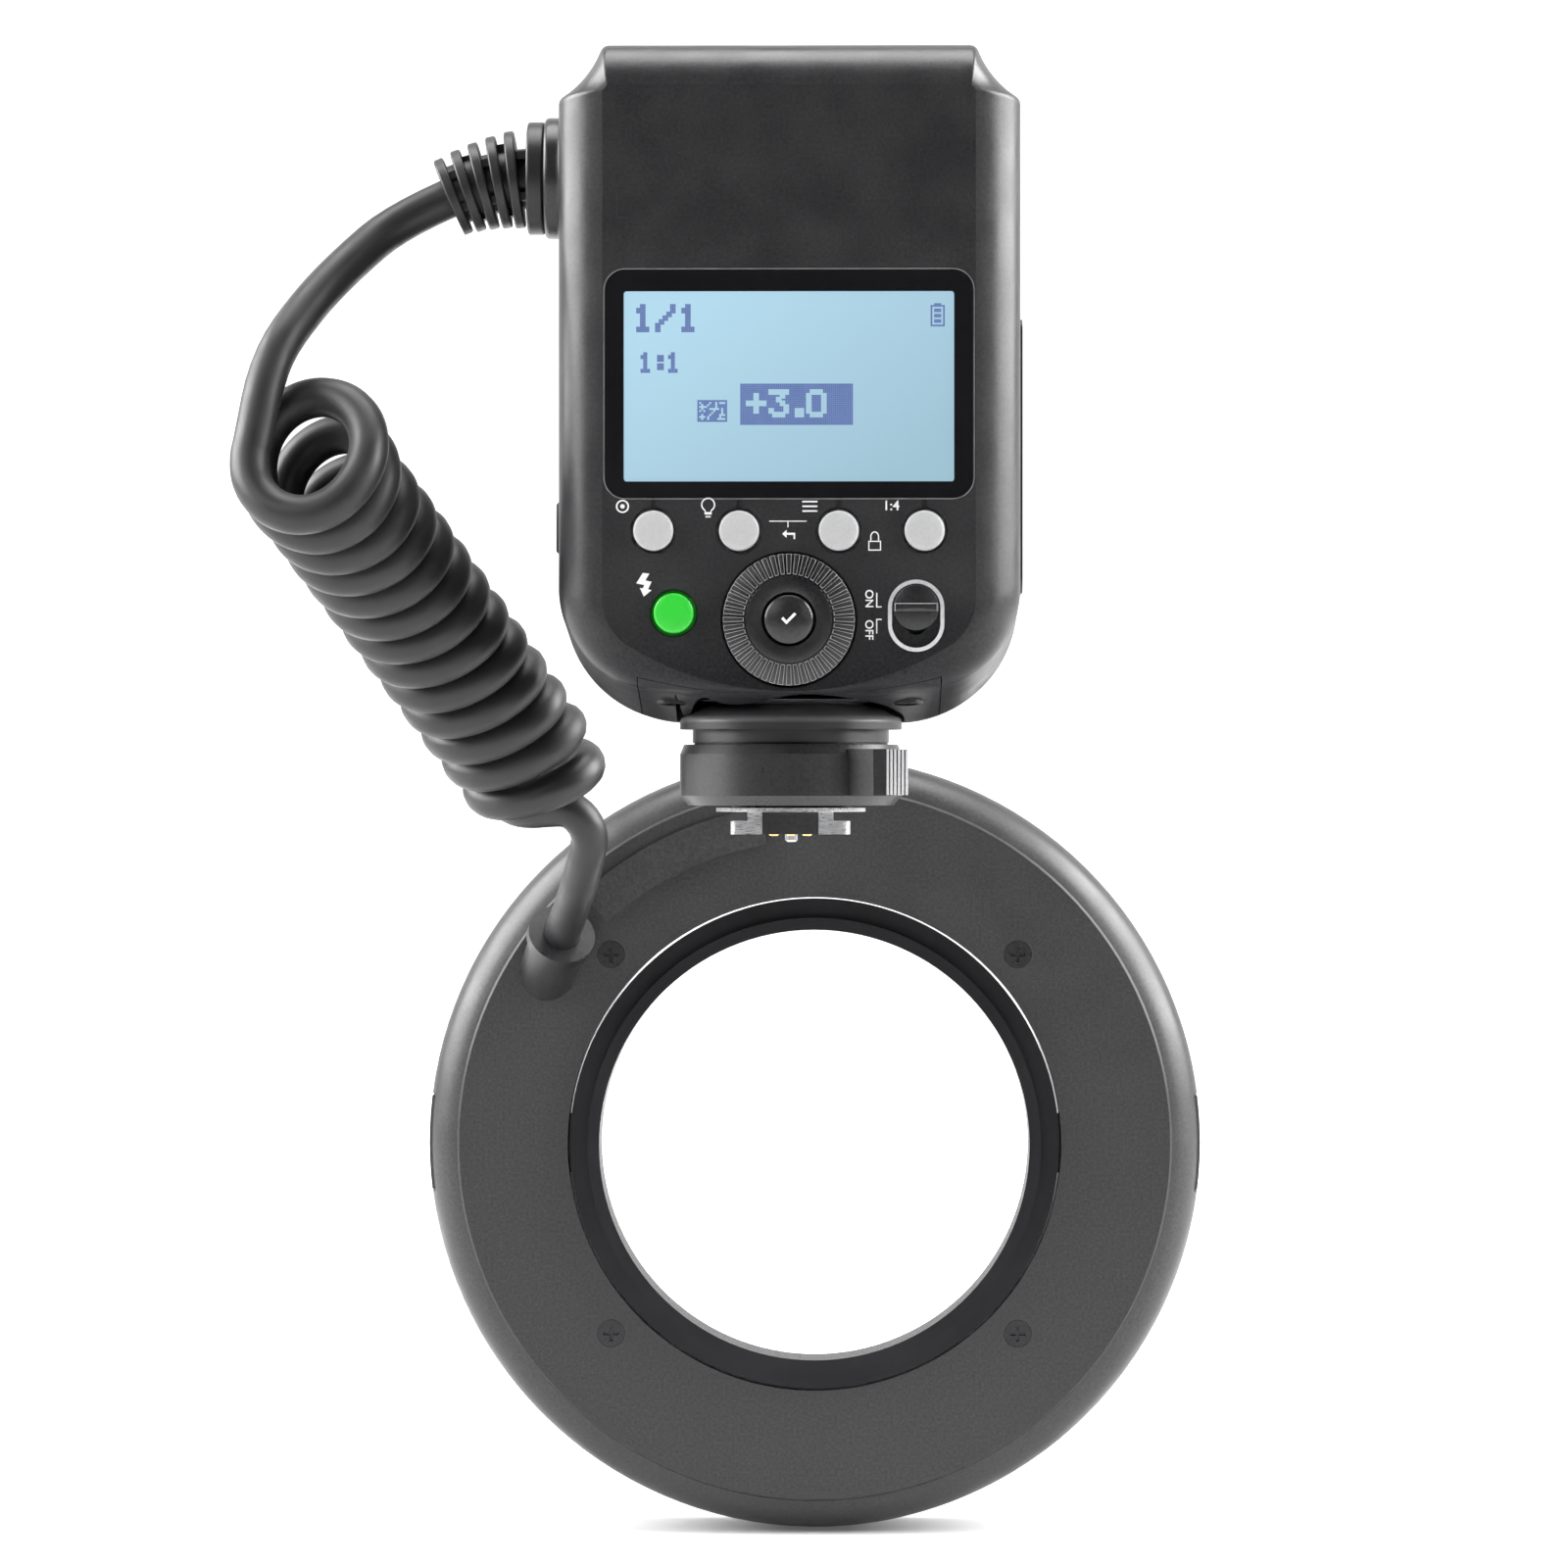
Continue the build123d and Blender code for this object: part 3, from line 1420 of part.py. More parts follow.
def ring_rear_cover():
    """The ring head's rear half, open to the front."""
    inner_step = ring_step_radius - ring_wall_shift
    floor_y = ring_rear_y + ring_wall
    out = ring_radius - ring_wall
    bore_out = ring_bore_radius + ring_wall
    step_out = ring_step_radius + ring_step_width
    step_y = ring_rear_y + ring_step_height
    bulge_r = (step_out + ring_radius) / 2 + ring_round_bulge * sqrt(1 / 2)
    bulge_y = (step_y + ring_round_y) / 2 - ring_round_bulge * sqrt(1 / 2)
    round_in = ring_round_y + ring_wall_shift
    lines = [
        Line((ring_bore_radius, ring_rear_y), (ring_step_radius, ring_rear_y)),
        Line((ring_step_radius, ring_rear_y), (step_out, step_y)),
        ThreePointArc((step_out, step_y), (bulge_r, bulge_y), (ring_radius, ring_round_y)),
        Line((ring_radius, ring_round_y), (ring_radius, ring_split_y)),
        Line((ring_radius, ring_split_y), (out, ring_split_y)),
        Line((out, ring_split_y), (out, round_in)),
        ThreePointArc(
            (out, round_in), (bulge_r - ring_wall, bulge_y + ring_wall_depth), (inner_step, floor_y)
        ),
        Line((inner_step, floor_y), (bore_out, floor_y)),
        Line((bore_out, floor_y), (bore_out, ring_split_y)),
        Line((bore_out, ring_split_y), (ring_bore_radius, ring_split_y)),
        Line((ring_bore_radius, ring_split_y), (ring_bore_radius, ring_rear_y)),
    ]
    cover = ring_turned(lines)
    raised = ring_sector(
        cable_cover_in_radius, cable_cover_out_radius, cable_cover_start, cable_cover_end
    )
    cover += prism(raised, ring_rear_y - cable_cover_height, ring_rear_y)
    for x, z in ring_screw_places():
        post = disc(x, z, ring_post_radius, ring_rear_y, ring_split_y)
        cover += post
    cover -= ring_screw_holes()
    for side in (-1, 1):
        cover -= tongue_slot(side)
        cover -= head_window(side)
    return cover


def ring_screw_places():
    """The four screws of the ring head as x and z."""
    angles = [ring_screw_angle, 180 - ring_screw_angle, 180 + ring_screw_angle, -ring_screw_angle]
    return [ring_spot(ring_screw_circle, angle) for angle in angles]


def ring_screw_spots():
    """Where the ring head's screws lie in its rear face."""
    return [Pos(x, ring_rear_y + fit_gap, z) * Rot(90, 0, 0) for x, z in ring_screw_places()]


def ring_screw_holes():
    """The room of the ring head's screws."""
    return [spot * screw_hole() for spot in ring_screw_spots()]


def ring_board():
    """The flat circuit ring at the parting of the two halves."""
    in_radius = ring_bore_radius + ring_wall + ring_board_margin
    out_radius = ring_radius - ring_wall - ring_board_margin
    face = Circle(out_radius) - Circle(in_radius)
    face = Pos(ring_centre_x, ring_centre_z) * face
    return prism(face, ring_split_y + fit_gap, ring_split_y + board_thickness)


def ring_front_frame():
    """The ring head's front half with its two light windows and two lamp holes."""
    out = ring_radius - ring_wall
    bore_out = ring_bore_radius + ring_wall
    back_y = ring_split_y + fit_gap
    plate_y = ring_front_y - ring_wall
    round_y = ring_front_y - ring_front_round
    round_r = ring_radius - ring_front_round
    mid = ring_front_round * (1 - sqrt(1 / 2))
    lines = [
        Line((ring_bore_radius, back_y), (ring_bore_radius, ring_front_y)),
        Line((ring_bore_radius, ring_front_y), (round_r, ring_front_y)),
        ThreePointArc(
            (round_r, ring_front_y), (ring_radius - mid, ring_front_y - mid), (ring_radius, round_y)
        ),
        Line((ring_radius, round_y), (ring_radius, back_y)),
        Line((ring_radius, back_y), (out, back_y)),
        Line((out, back_y), (out, plate_y)),
        Line((out, plate_y), (bore_out, plate_y)),
        Line((bore_out, plate_y), (bore_out, back_y)),
        Line((bore_out, back_y), (ring_bore_radius, back_y)),
    ]
    frame = ring_turned(lines)
    for middle in (0, 180):
        window = ring_sector(
            diffuser_in_radius - fit_gap,
            diffuser_out_radius + fit_gap,
            middle - diffuser_half_angle,
            middle + diffuser_half_angle,
        )
        frame -= prism(window, plate_y - cut_overrun, ring_front_y + cut_overrun)
    for x, z in lamp_places():
        frame -= disc(x, z, led_radius + fit_gap, plate_y - cut_overrun, ring_front_y + cut_overrun)
    return frame


def lamp_places():
    """The focusing lamps at the ring's top and bottom."""
    middle = (diffuser_in_radius + diffuser_out_radius) / 2
    return [ring_spot(middle, 90), ring_spot(middle, -90)]


def led_lamp(index):
    """A focusing lamp that stands on the board and shows in the front."""
    x, z = lamp_places()[index]
    board_y = ring_split_y + board_thickness
    plate_y = ring_front_y - ring_wall
    lamp = disc(x, z, led_radius, board_y + fit_gap, ring_front_y + led_proud)
    lamp = fillet(lamp.edges().sort_by(Axis.Y)[-1], radius=led_proud)
    flange = disc(x, z, led_radius + led_flange, board_y + fit_gap, plate_y - led_flange)
    return lamp + flange


def diffuser(middle):
    """One half of the light window."""
    angle_gap = degrees(2 * fit_gap / diffuser_in_radius)
    face = ring_sector(
        diffuser_in_radius,
        diffuser_out_radius,
        middle - diffuser_half_angle + angle_gap,
        middle + diffuser_half_angle - angle_gap,
    )
    front_y = ring_front_y + diffuser_proud
    pane = prism(face, ring_front_y - diffuser_thickness, front_y)
    front = pane.faces().sort_by(Axis.Y)[-1]
    return chamfer(front.edges(), length=diffuser_edge)


def swept_sector(points, middle, half_angle):
    """Points of radius and y turned through part of a circle round the ring's axis."""
    swept = revolve(Plane.XY * make_face(points), axis=Axis.Y, revolution_arc=2 * half_angle)
    turn = Rot(0, -middle - half_angle, 0)
    return Pos(ring_centre_x, 0, ring_centre_z) * turn * swept


def reflector(middle):
    """The bright trough behind one light window."""
    in_radius = diffuser_in_radius + reflector_margin
    out_radius = diffuser_out_radius - reflector_margin
    back_y = ring_split_y + board_thickness + fit_gap
    front_y = ring_front_y - diffuser_thickness - fit_gap
    outline = Polyline(
        (in_radius, back_y),
        (out_radius, back_y),
        (out_radius, front_y),
        (out_radius - reflector_wall, front_y),
        (out_radius - reflector_wall, back_y + reflector_wall),
        (in_radius + reflector_wall, back_y + reflector_wall),
        (in_radius + reflector_wall, front_y),
        (in_radius, front_y),
        close=True,
    )
    return swept_sector(outline, middle, reflector_half_angle)


def flash_tube(middle):
    """The curved glass tube of one side with its two sockets on the trough's floor."""
    ring_middle = (diffuser_in_radius + diffuser_out_radius) / 2
    floor_y = ring_split_y + board_thickness + fit_gap + reflector_wall
    tube_y = floor_y + tube_socket_height
    section = Pos(ring_middle, tube_y) * Circle(tube_radius)
    glass = swept_sector(section, middle, tube_half_angle)
    for angle in (middle - tube_half_angle, middle + tube_half_angle):
        x, z = ring_spot(ring_middle, angle)
        glass += disc(x, z, tube_socket_radius, floor_y, tube_y + tube_radius)
    return glass


def adapter_ring():
    """The ring that screws on the lens, grooved for the latches."""
    thread_y = ring_rear_y + adapter_rear_gap
    front_y = thread_y + adapter_thickness
    out = ring_bore_radius - running_gap
    groove_r = out - groove_depth
    groove_rear = tongue_rear_y - running_gap
    groove_front = tongue_front_y + running_gap
    outline = Polyline(
        (adapter_bore_radius, thread_y - thread_length),
        (thread_radius, thread_y - thread_length),
        (thread_radius, thread_y),
        (out, thread_y),
        (out, groove_rear),
        (groove_r, groove_rear),
        (groove_r, groove_front),
        (out, groove_front),
        (out, front_y),
        (adapter_bore_radius, front_y),
        close=True,
    )
    return ring_turned(outline)


def ring_block(side, r_from, r_to, half_width, rear_y, front_y):
    """A box from one radius to another on the left or the right of the ring's axis."""
    near = ring_centre_x + side * r_from
    far = ring_centre_x + side * r_to
    low = ring_centre_z - half_width
    top = ring_centre_z + half_width
    return block(min(near, far), max(near, far), rear_y, front_y, low, top)


def tongue_slot(side):
    """The slot in the bore's wall that a latch tongue slides in."""
    return ring_block(
        side,
        ring_bore_radius - cut_overrun,
        ring_bore_radius + ring_wall + cut_overrun,
        tongue_half_width + running_gap,
        tongue_rear_y - running_gap,
        tongue_front_y + running_gap,
    )


def head_window(side):
    """The window in the rim that a release button slides in."""
    return ring_block(
        side,
        ring_step_radius,
        ring_radius + cut_overrun,
        head_half_width + running_gap,
        head_rear_y - running_gap,
        head_front_y + running_gap,
    )


def release_latch(side, layer):
    """A release button at one side joined by a flat ring to the tongue at the other."""
    rear_y = ring_rear_y + ring_wall + latch_floor_gap
    rear_y += layer * (latch_thickness + latch_stack_gap)
    front_y = rear_y + latch_thickness
    loop = Circle(latch_out_radius) - Circle(latch_in_radius)
    latch = prism(Pos(ring_centre_x, ring_centre_z) * loop, rear_y, front_y)
    bite_radius = ring_bore_radius - groove_depth
    step_radius = latch_in_radius - 2 * latch_travel - running_gap
    latch += ring_block(
        -side, step_radius - latch_thickness, latch_in_radius + latch_thickness, tongue_half_width,
        rear_y, front_y,
    )
    latch += ring_block(
        -side, ring_bore_radius + ring_wall + running_gap, step_radius, tongue_half_width,
        min(rear_y, tongue_rear_y), max(front_y, tongue_front_y),
    )
    latch += ring_block(
        -side, bite_radius - tongue_bite, step_radius, tongue_half_width,
        tongue_rear_y, tongue_front_y,
    )
    latch -= disc(
        ring_centre_x, ring_centre_z, bite_radius, ring_rear_y, ring_front_y
    )
    riser_in = arm_out_radius - arm_riser_width
    latch += ring_block(
        side, latch_in_radius + latch_thickness, arm_out_radius, arm_half_width, rear_y, front_y
    )
    latch += ring_block(side, riser_in, arm_out_radius, arm_half_width, rear_y, arm_head_front_y)
    latch += ring_block(
        side, riser_in, head_in_radius + latch_thickness, arm_half_width,
        arm_head_rear_y, arm_head_front_y,
    )
    head = ring_block(
        side, head_in_radius, ring_radius, head_half_width, head_rear_y, head_front_y
    )
    head &= disc(
        ring_centre_x, ring_centre_z, ring_radius - head_sink, ring_rear_y, ring_front_y
    )
    return latch + head


rear_shell, front_shell, bottom_cover = shells()
key_names = ("key_outer_left", "key_inner_left", "key_inner_right", "key_outer_right", "test_key")
nodes = {
    "rear_shell": rear_shell,
    "front_shell": front_shell,
    "bottom_cover": bottom_cover,
    "lcd_bezel": lcd_bezel(),
    "lcd_panel": lcd_panel(),
    "main_board": main_board(),
    "dial": dial(),
    "dial_encoder": dial_encoder(),
    "set_button": set_button(),
    "switch_rim": switch_rim(),
    "power_switch": power_switch(),
    "battery_pack": battery_pack(),
    "battery_cap": battery_cap(),
    "battery_bay": battery_bay(),
    "battery_contacts": battery_contacts(),
    "flash_capacitor": flash_capacitor(),
    "power_board": power_board(),
    "usb_port": usb_port(),
    "port_cover": port_cover(),
    "side_panel": side_panel(),
    "lamp_window": lamp_window(),
    "cord_socket": cord_socket(),
    "cord_gland": cord_gland(),
    "foot_flange": foot_flange(),
    "shoe_foot": shoe_foot(),
    "contact_block": contact_block(),
    "contact_pins": contact_pins(),
    "lock_ring": lock_ring(),
    "lock_grip": lock_grip(),
    "lock_pin": lock_pin(),
    "shell_screws": screws(shell_screw_spots()),
    "bottom_screws": screws(bottom_screw_spots()),
    "cord_top": cord_top(),
    "cord_coil": cord_coil(),
    "cord_bottom": cord_bottom(),
    "ring_gland": ring_gland(),
    "ring_rear_cover": ring_rear_cover(),
    "ring_front_frame": ring_front_frame(),
    "ring_board": ring_board(),
    "ring_screws": screws(ring_screw_spots()),
    "led_top": led_lamp(0),
    "led_bottom": led_lamp(1),
    "diffuser_right": diffuser(0),
    "diffuser_left": diffuser(180),
    "reflector_right": reflector(0),
    "reflector_left": reflector(180),
    "flash_tube_right": flash_tube(0),
    "flash_tube_left": flash_tube(180),
    "adapter_ring": adapter_ring(),
    "release_right": release_latch(1, 0),
    "release_left": release_latch(-1, 1),
}
for name, (x, z) in zip(key_names, key_places()):
    nodes[name] = push_key(x, z)
for name, shape in nodes.items():
    export_step(shape, f"parts/{name}.step")
print("written", len(nodes))
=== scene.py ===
"""Looks of a macro ring flash: a shoe-mounted controller, its curly cord and its ring head.

The file is laid out as an add-on and is run as a script. Everything is in metres in the part's own
frame: X to the right as seen from behind, Y forward to the subject, Z up, with the origin at the
middle of the shoe foot's lower face.
"""

import math

import bpy
from mathutils import Matrix, Vector


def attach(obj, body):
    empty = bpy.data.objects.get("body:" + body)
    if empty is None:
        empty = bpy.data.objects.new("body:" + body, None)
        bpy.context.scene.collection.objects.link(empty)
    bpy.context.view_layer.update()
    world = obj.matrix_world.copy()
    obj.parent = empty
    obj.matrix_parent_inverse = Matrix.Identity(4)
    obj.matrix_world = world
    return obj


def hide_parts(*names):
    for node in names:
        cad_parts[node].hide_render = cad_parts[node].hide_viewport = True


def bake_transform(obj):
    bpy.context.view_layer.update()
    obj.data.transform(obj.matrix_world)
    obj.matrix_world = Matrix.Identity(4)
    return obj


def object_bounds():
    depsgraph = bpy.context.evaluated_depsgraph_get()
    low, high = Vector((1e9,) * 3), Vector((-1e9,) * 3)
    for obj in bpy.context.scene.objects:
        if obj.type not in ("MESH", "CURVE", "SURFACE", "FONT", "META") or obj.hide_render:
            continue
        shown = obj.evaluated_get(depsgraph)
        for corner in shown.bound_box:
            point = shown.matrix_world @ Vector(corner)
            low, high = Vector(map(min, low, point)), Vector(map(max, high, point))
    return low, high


bl_info = {
    "name": "Macro ring flash",
    "version": (1, 0, 0),
    "blender": (4, 5, 0),
    "location": "View3D > Sidebar > Ring flash",
    "description": "Finishes, curly cord, display, printed marks and stage of a macro ring flash",
    "category": "Object",
}

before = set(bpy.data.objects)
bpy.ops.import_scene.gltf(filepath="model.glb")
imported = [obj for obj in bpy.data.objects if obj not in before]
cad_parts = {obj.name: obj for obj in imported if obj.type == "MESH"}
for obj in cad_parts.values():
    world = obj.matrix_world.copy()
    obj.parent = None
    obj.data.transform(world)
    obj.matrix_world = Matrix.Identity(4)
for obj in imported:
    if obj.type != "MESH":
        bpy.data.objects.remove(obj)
CAD_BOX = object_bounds()
MM = 0.001

# Which finish each solid of the part takes
SOLID_FINISHES = {
    "shell": ("rear_shell", "front_shell", "bottom_cover", "battery_cap"),
    "ring_shell": ("ring_rear_cover", "ring_front_frame"),
    "gloss_black": ("lcd_bezel",),
    "display": ("lcd_panel",),
    "circuit": ("main_board", "power_board", "ring_board"),
    "key_grey": ("key_outer_left", "key_inner_left", "key_inner_right", "key_outer_right"),
    "key_green": ("test_key",),
    "dial_black": ("dial", "set_button", "power_switch"),
    "dark_plastic": ("dial_encoder", "battery_bay", "side_panel", "cord_socket",
                     "contact_block", "lock_ring", "ring_gland", "bottom_screws"),
    "flange_black": ("foot_flange",),
    # The switch rim's pale finish is a painted highlight along its bevel; the lock's grip is
    # silver
    "bright_metal": ("switch_rim", "lock_grip"),
    "foot_metal": ("usb_port", "shoe_foot", "lock_pin"),
    "screw_steel": ("shell_screws", "ring_screws"),
    "contact_gold": ("battery_contacts", "contact_pins"),
    "gland_rubber": ("port_cover", "cord_gland"),
    "battery_case": ("battery_pack",),
    "capacitor_sleeve": ("flash_capacitor",),
    "window_red": ("lamp_window",),
    "lamp_lens": ("led_top", "led_bottom"),
    "diffuser": ("diffuser_right", "diffuser_left"),
    "reflector": ("reflector_right", "reflector_left"),
    "tube_glass": ("flash_tube_right", "flash_tube_left"),
    "adapter_metal": ("adapter_ring",),
    "release_grey": ("release_right", "release_left"),
}

# Dot matrix figures of the display, seven rows high
FIGURES = {
    "0": (".###.", "#...#", "#...#", "#...#", "#...#", "#...#", ".###."),
    "1": ("..#..", ".##..", "..#..", "..#..", "..#..", "..#..", ".###."),
    "2": (".###.", "#...#", "....#", "...#.", "..#..", ".#...", "#####"),
    "3": ("#####", "...#.", "..#..", "...#.", "....#", "#...#", ".###."),
    "4": ("...#.", "..##.", ".#.#.", "#..#.", "#####", "...#.", "...#."),
    "8": (".###.", "#...#", "#...#", ".###.", "#...#", "#...#", ".###."),
    "+": (".....", "..#..", "..#..", "#####", "..#..", "..#..", "....."),
    ".": ("...", "...", "...", "...", "...", ".##", ".##"),
    ":": ("...", ".##", ".##", "...", ".##", ".##", "..."),
    "/": ("....#", "....#", "...#.", "..#..", ".#...", "#....", "#...."),
}


# ---- sizes and colours


def length_setting(name, description, default):
    """A setting that is a length in metres."""
    return bpy.props.FloatProperty(
        name=name, description=description, default=default, unit="LENGTH"
    )


def colour_setting(name, description, default):
    """A setting that is a colour."""
    return bpy.props.FloatVectorProperty(
        name=name, description=description, subtype="COLOR", default=default, min=0, max=1
    )


class RingFlashCord(bpy.types.PropertyGroup):
    """Sizes of the curly cord."""

    thickness: length_setting("Thickness", "Diameter of the cord", 6.2 * MM)
    coil_radius: length_setting("Coil radius", "Radius of the coil's middle line", 8.9 * MM)
    coil_pitch: length_setting("Coil pitch", "Distance from turn to turn", 7.36 * MM)
    coil_turns: bpy.props.FloatProperty(
        name="Coil turns", description="How many turns the coil has", default=13.25
    )
    coil_bend: length_setting("Coil bend", "Radius of the whole coil's bow", 220 * MM)
    colour: colour_setting("Colour", "Colour of the cord's rubber", (0.0115, 0.0115, 0.0125))


class RingFlashBody(bpy.types.PropertyGroup):
    """Colours of the housing and its controls."""

    plastic: colour_setting("Housing", "Colour of the charcoal plastic", (0.0135, 0.0135, 0.0147))
    key: colour_setting("Buttons", "Colour of the light buttons", (0.40, 0.40, 0.405))
    test_key: colour_setting("Test button", "Colour of the test button", (0.020, 0.42, 0.026))
    print_colour: colour_setting("Print", "Colour of the printed marks", (0.72, 0.72, 0.72))
    print_thickness: length_setting(
        "Print thickness", "How far the printed marks stand proud", 0.04 * MM
    )


class RingFlashDisplay(bpy.types.PropertyGroup):
    """What the display shows and its light."""

    value: bpy.props.StringProperty(
        name="Value", description="Figures shown in the dark box", default="+3.0"
    )
    power: bpy.props.StringProperty(
        name="Power", description="Large figures in the upper corner", default="1/1"
    )
    share: bpy.props.StringProperty(
        name="Share", description="Small figures below the large ones", default="1:1"
    )
    backlight: colour_setting("Backlight", "Colour of the lit display", (0.46, 0.71, 0.85))
    ink: colour_setting("Ink", "Colour of the display's dark dots", (0.125, 0.19, 0.47))
    strength: bpy.props.FloatProperty(
        name="Strength", description="Strength of the backlight", default=0.86
    )


class RingFlashStage(bpy.types.PropertyGroup):
    """Camera and light."""

    distance: length_setting("Distance", "From the camera to the controller's middle", 1.0)
    eye_height: length_setting("Eye height", "Height of the camera over the shoe foot", 7.84 * MM)
    lens: bpy.props.FloatProperty(
        name="Lens", description="Focal length in millimetres on a 36 mm frame", default=146.3
    )
    key_power: bpy.props.FloatProperty(
        name="Soft light", description="Power of the large soft lights in watts", default=8.0
    )


def settings():
    """The add-on's sizes and colours in this scene."""
    return bpy.context.scene.ring_flash


class RingFlashSettings(bpy.types.PropertyGroup):
    """All sizes and colours."""

    cord: bpy.props.PointerProperty(type=RingFlashCord, name="Cord", description="The curly cord")
    body: bpy.props.PointerProperty(type=RingFlashBody, name="Body", description="The housing")
    display: bpy.props.PointerProperty(
        type=RingFlashDisplay, name="Display", description="The display"
    )
    stage: bpy.props.PointerProperty(
        type=RingFlashStage, name="Stage", description="Camera and light"
    )


# ---- finishes


def shaded(colour, *shares):
    """A colour made lighter or darker by each share."""
    return [tuple(min(1.0, c * share) for c in colour) for share in shares]


class Finish:
    """A material: the shader with its plain values, and the patterns laid on it."""

    def __init__(self, name, colour, roughness, **sockets):
        self.material = bpy.data.materials.new(name)
        self.material.use_nodes = True
        self.tree = self.material.node_tree
        self.surface = self.tree.nodes["Principled BSDF"]
        self.surface.inputs["Base Color"].default_value = (*colour, 1)
        self.surface.inputs["Roughness"].default_value = roughness
        for socket, value in sockets.items():
            self.surface.inputs[socket.replace("_", " ")].default_value = value
        self.material.diffuse_color = (*colour, 1)
        self.colour = tuple(colour)

    def node(self, kind, **values):
        """A new node with some of its inputs set by name."""
        made = self.tree.nodes.new(kind)
        for socket, value in values.items():
            made.inputs[socket.replace("_", " ")].default_value = value
        return made

    def link(self, start, end):
        """Joins an output to an input."""
        self.tree.links.new(start, end)

    def feed(self, value, socket):
        """Joins an output to one of the shader's inputs."""
        self.link(value, self.surface.inputs[socket])

    def place(self, turn=(0, 0, 0), stretch=(1, 1, 1)):
        """Object coordinates, turned and stretched."""
        coordinates = self.node("ShaderNodeTexCoord")
        mapping = self.node("ShaderNodeMapping")
        mapping.vector_type = "TEXTURE"
        mapping.inputs["Rotation"].default_value = turn
        mapping.inputs["Scale"].default_value = stretch
        self.link(coordinates.outputs["Object"], mapping.inputs["Vector"])
        return mapping.outputs["Vector"]

    def along(self, axis, turn=(0, 0, 0)):
        """How far along one axis of the turned coordinates a point lies, in metres."""
        axes = self.node("ShaderNodeSeparateXYZ")
        self.link(self.place(turn), axes.inputs["Vector"])
        return axes.outputs[axis]

    def noise(self, size, detail=2.0, stretch=(1, 1, 1)):
        """Noise whose features are about this many metres across."""
        noise = self.node("ShaderNodeTexNoise", Scale=1 / size, Detail=detail)
        self.link(self.place(stretch=stretch), noise.inputs["Vector"])
        return noise.outputs["Fac"]

    def spread(self, value, low, high, from_low=0.35, from_high=0.65):
        """A value between two limits that follows a pattern."""
        spread = self.node(
            "ShaderNodeMapRange", From_Min=from_low, From_Max=from_high, To_Min=low, To_Max=high
        )
        self.link(value, spread.inputs["Value"])
        return spread.outputs["Result"]

    def ramp(self, value, *stops):
        """Colours along a pattern, as pairs of place and colour."""
        ramp = self.node("ShaderNodeValToRGB")
        elements = ramp.color_ramp.elements
        while len(elements) < len(stops):
            elements.new(1.0)
        for element, (at, colour) in zip(elements, stops):
            element.position = at
            element.color = (*colour, 1)
        self.link(value, ramp.inputs["Fac"])
        return ramp.outputs["Color"]

    def clouded(self, size, colour, darker, lighter, detail=3.0):
        """A colour that wanders between a darker and a lighter share of itself."""
        low, high = shaded(colour, darker, lighter)
        return self.ramp(self.noise(size, detail), (0.3, low), (0.7, high))

    def mottled(self, size, darker, lighter):
        """The finish's own colour, wandering over the surface."""
        self.feed(self.clouded(size, self.colour, darker, lighter), "Base Color")
        return self

    def polished(self, size, low, high, stretch=(1, 1, 1)):
        """Roughness that changes between two values."""
        self.feed(self.spread(self.noise(size, 4.0, stretch), low, high), "Roughness")
        return self

    def raised(self, height, distance):
        """Fine relief from a pattern."""
        bump = self.node("ShaderNodeBump", Strength=1.0, Distance=distance)
        self.link(height, bump.inputs["Height"])
        self.feed(bump.outputs["Normal"], "Normal")
        return self

    def grained(self, size, distance, detail=2.0, stretch=(1, 1, 1)):
        """Moulded or ground grain."""
        return self.raised(self.noise(size, detail, stretch), distance)


def satin_plastic(name, colour, roughness=0.4, darker=0.65, lighter=1.4):
    """Moulded plastic, finely speckled and grained by spark erosion, with faint handling marks."""
    finish = Finish(name, colour, roughness, Specular_IOR_Level=0.5)
    finish.mottled(0.5 * MM, darker, lighter)
    finish.polished(9 * MM, roughness - 0.05, roughness + 0.05)
    return finish.grained(0.28 * MM, 0.012 * MM, 3.0)


def rubber(name, colour, roughness=0.45):
    """Soft moulded rubber with a dusty, uneven sheen."""
    finish = Finish(name, colour, roughness, Specular_IOR_Level=0.45)
    finish.mottled(14 * MM, 0.85, 1.2)
    finish.polished(6 * MM, roughness - 0.06, roughness + 0.06)
    return finish.grained(0.16 * MM, 0.008 * MM, 3.0)


def ground_metal(name, colour, roughness, stretch):
    """Metal with fine grinding lines along the direction that it is stretched in."""
    finish = Finish(name, colour, roughness, Metallic=1.0)
    finish.mottled(12 * MM, 0.9, 1.08)
    finish.polished(0.12 * MM, roughness - 0.07, roughness + 0.09, stretch)
    return finish.grained(0.1 * MM, 0.003 * MM, 2.0, stretch)


# Heights in millimetres between which the shell's sheen grows and the flange's colour pales into a
# painted highlight
SHELL_SHEEN_RISE = (23, 38)
FLANGE_HIGHLIGHT_RISE = (17.3, 18.2)
SHELL_SHEEN = (0.05, 0.5)
FLANGE_COLOUR = (0.014, 0.014, 0.015)
FLANGE_PAINTED_HIGHLIGHT = (0.16, 0.16, 0.165)
# The backlight grows across the display, along a line that leans by this angle, in metres
GLOW_LEAN = math.radians(-35)
GLOW_REACH = (0.035, 0.075)


def rising(finish, heights, low=0, high=1):
    """A value that changes between two heights given in millimetres."""
    return finish.spread(finish.along("Z"), low, high, *(z * MM for z in heights))


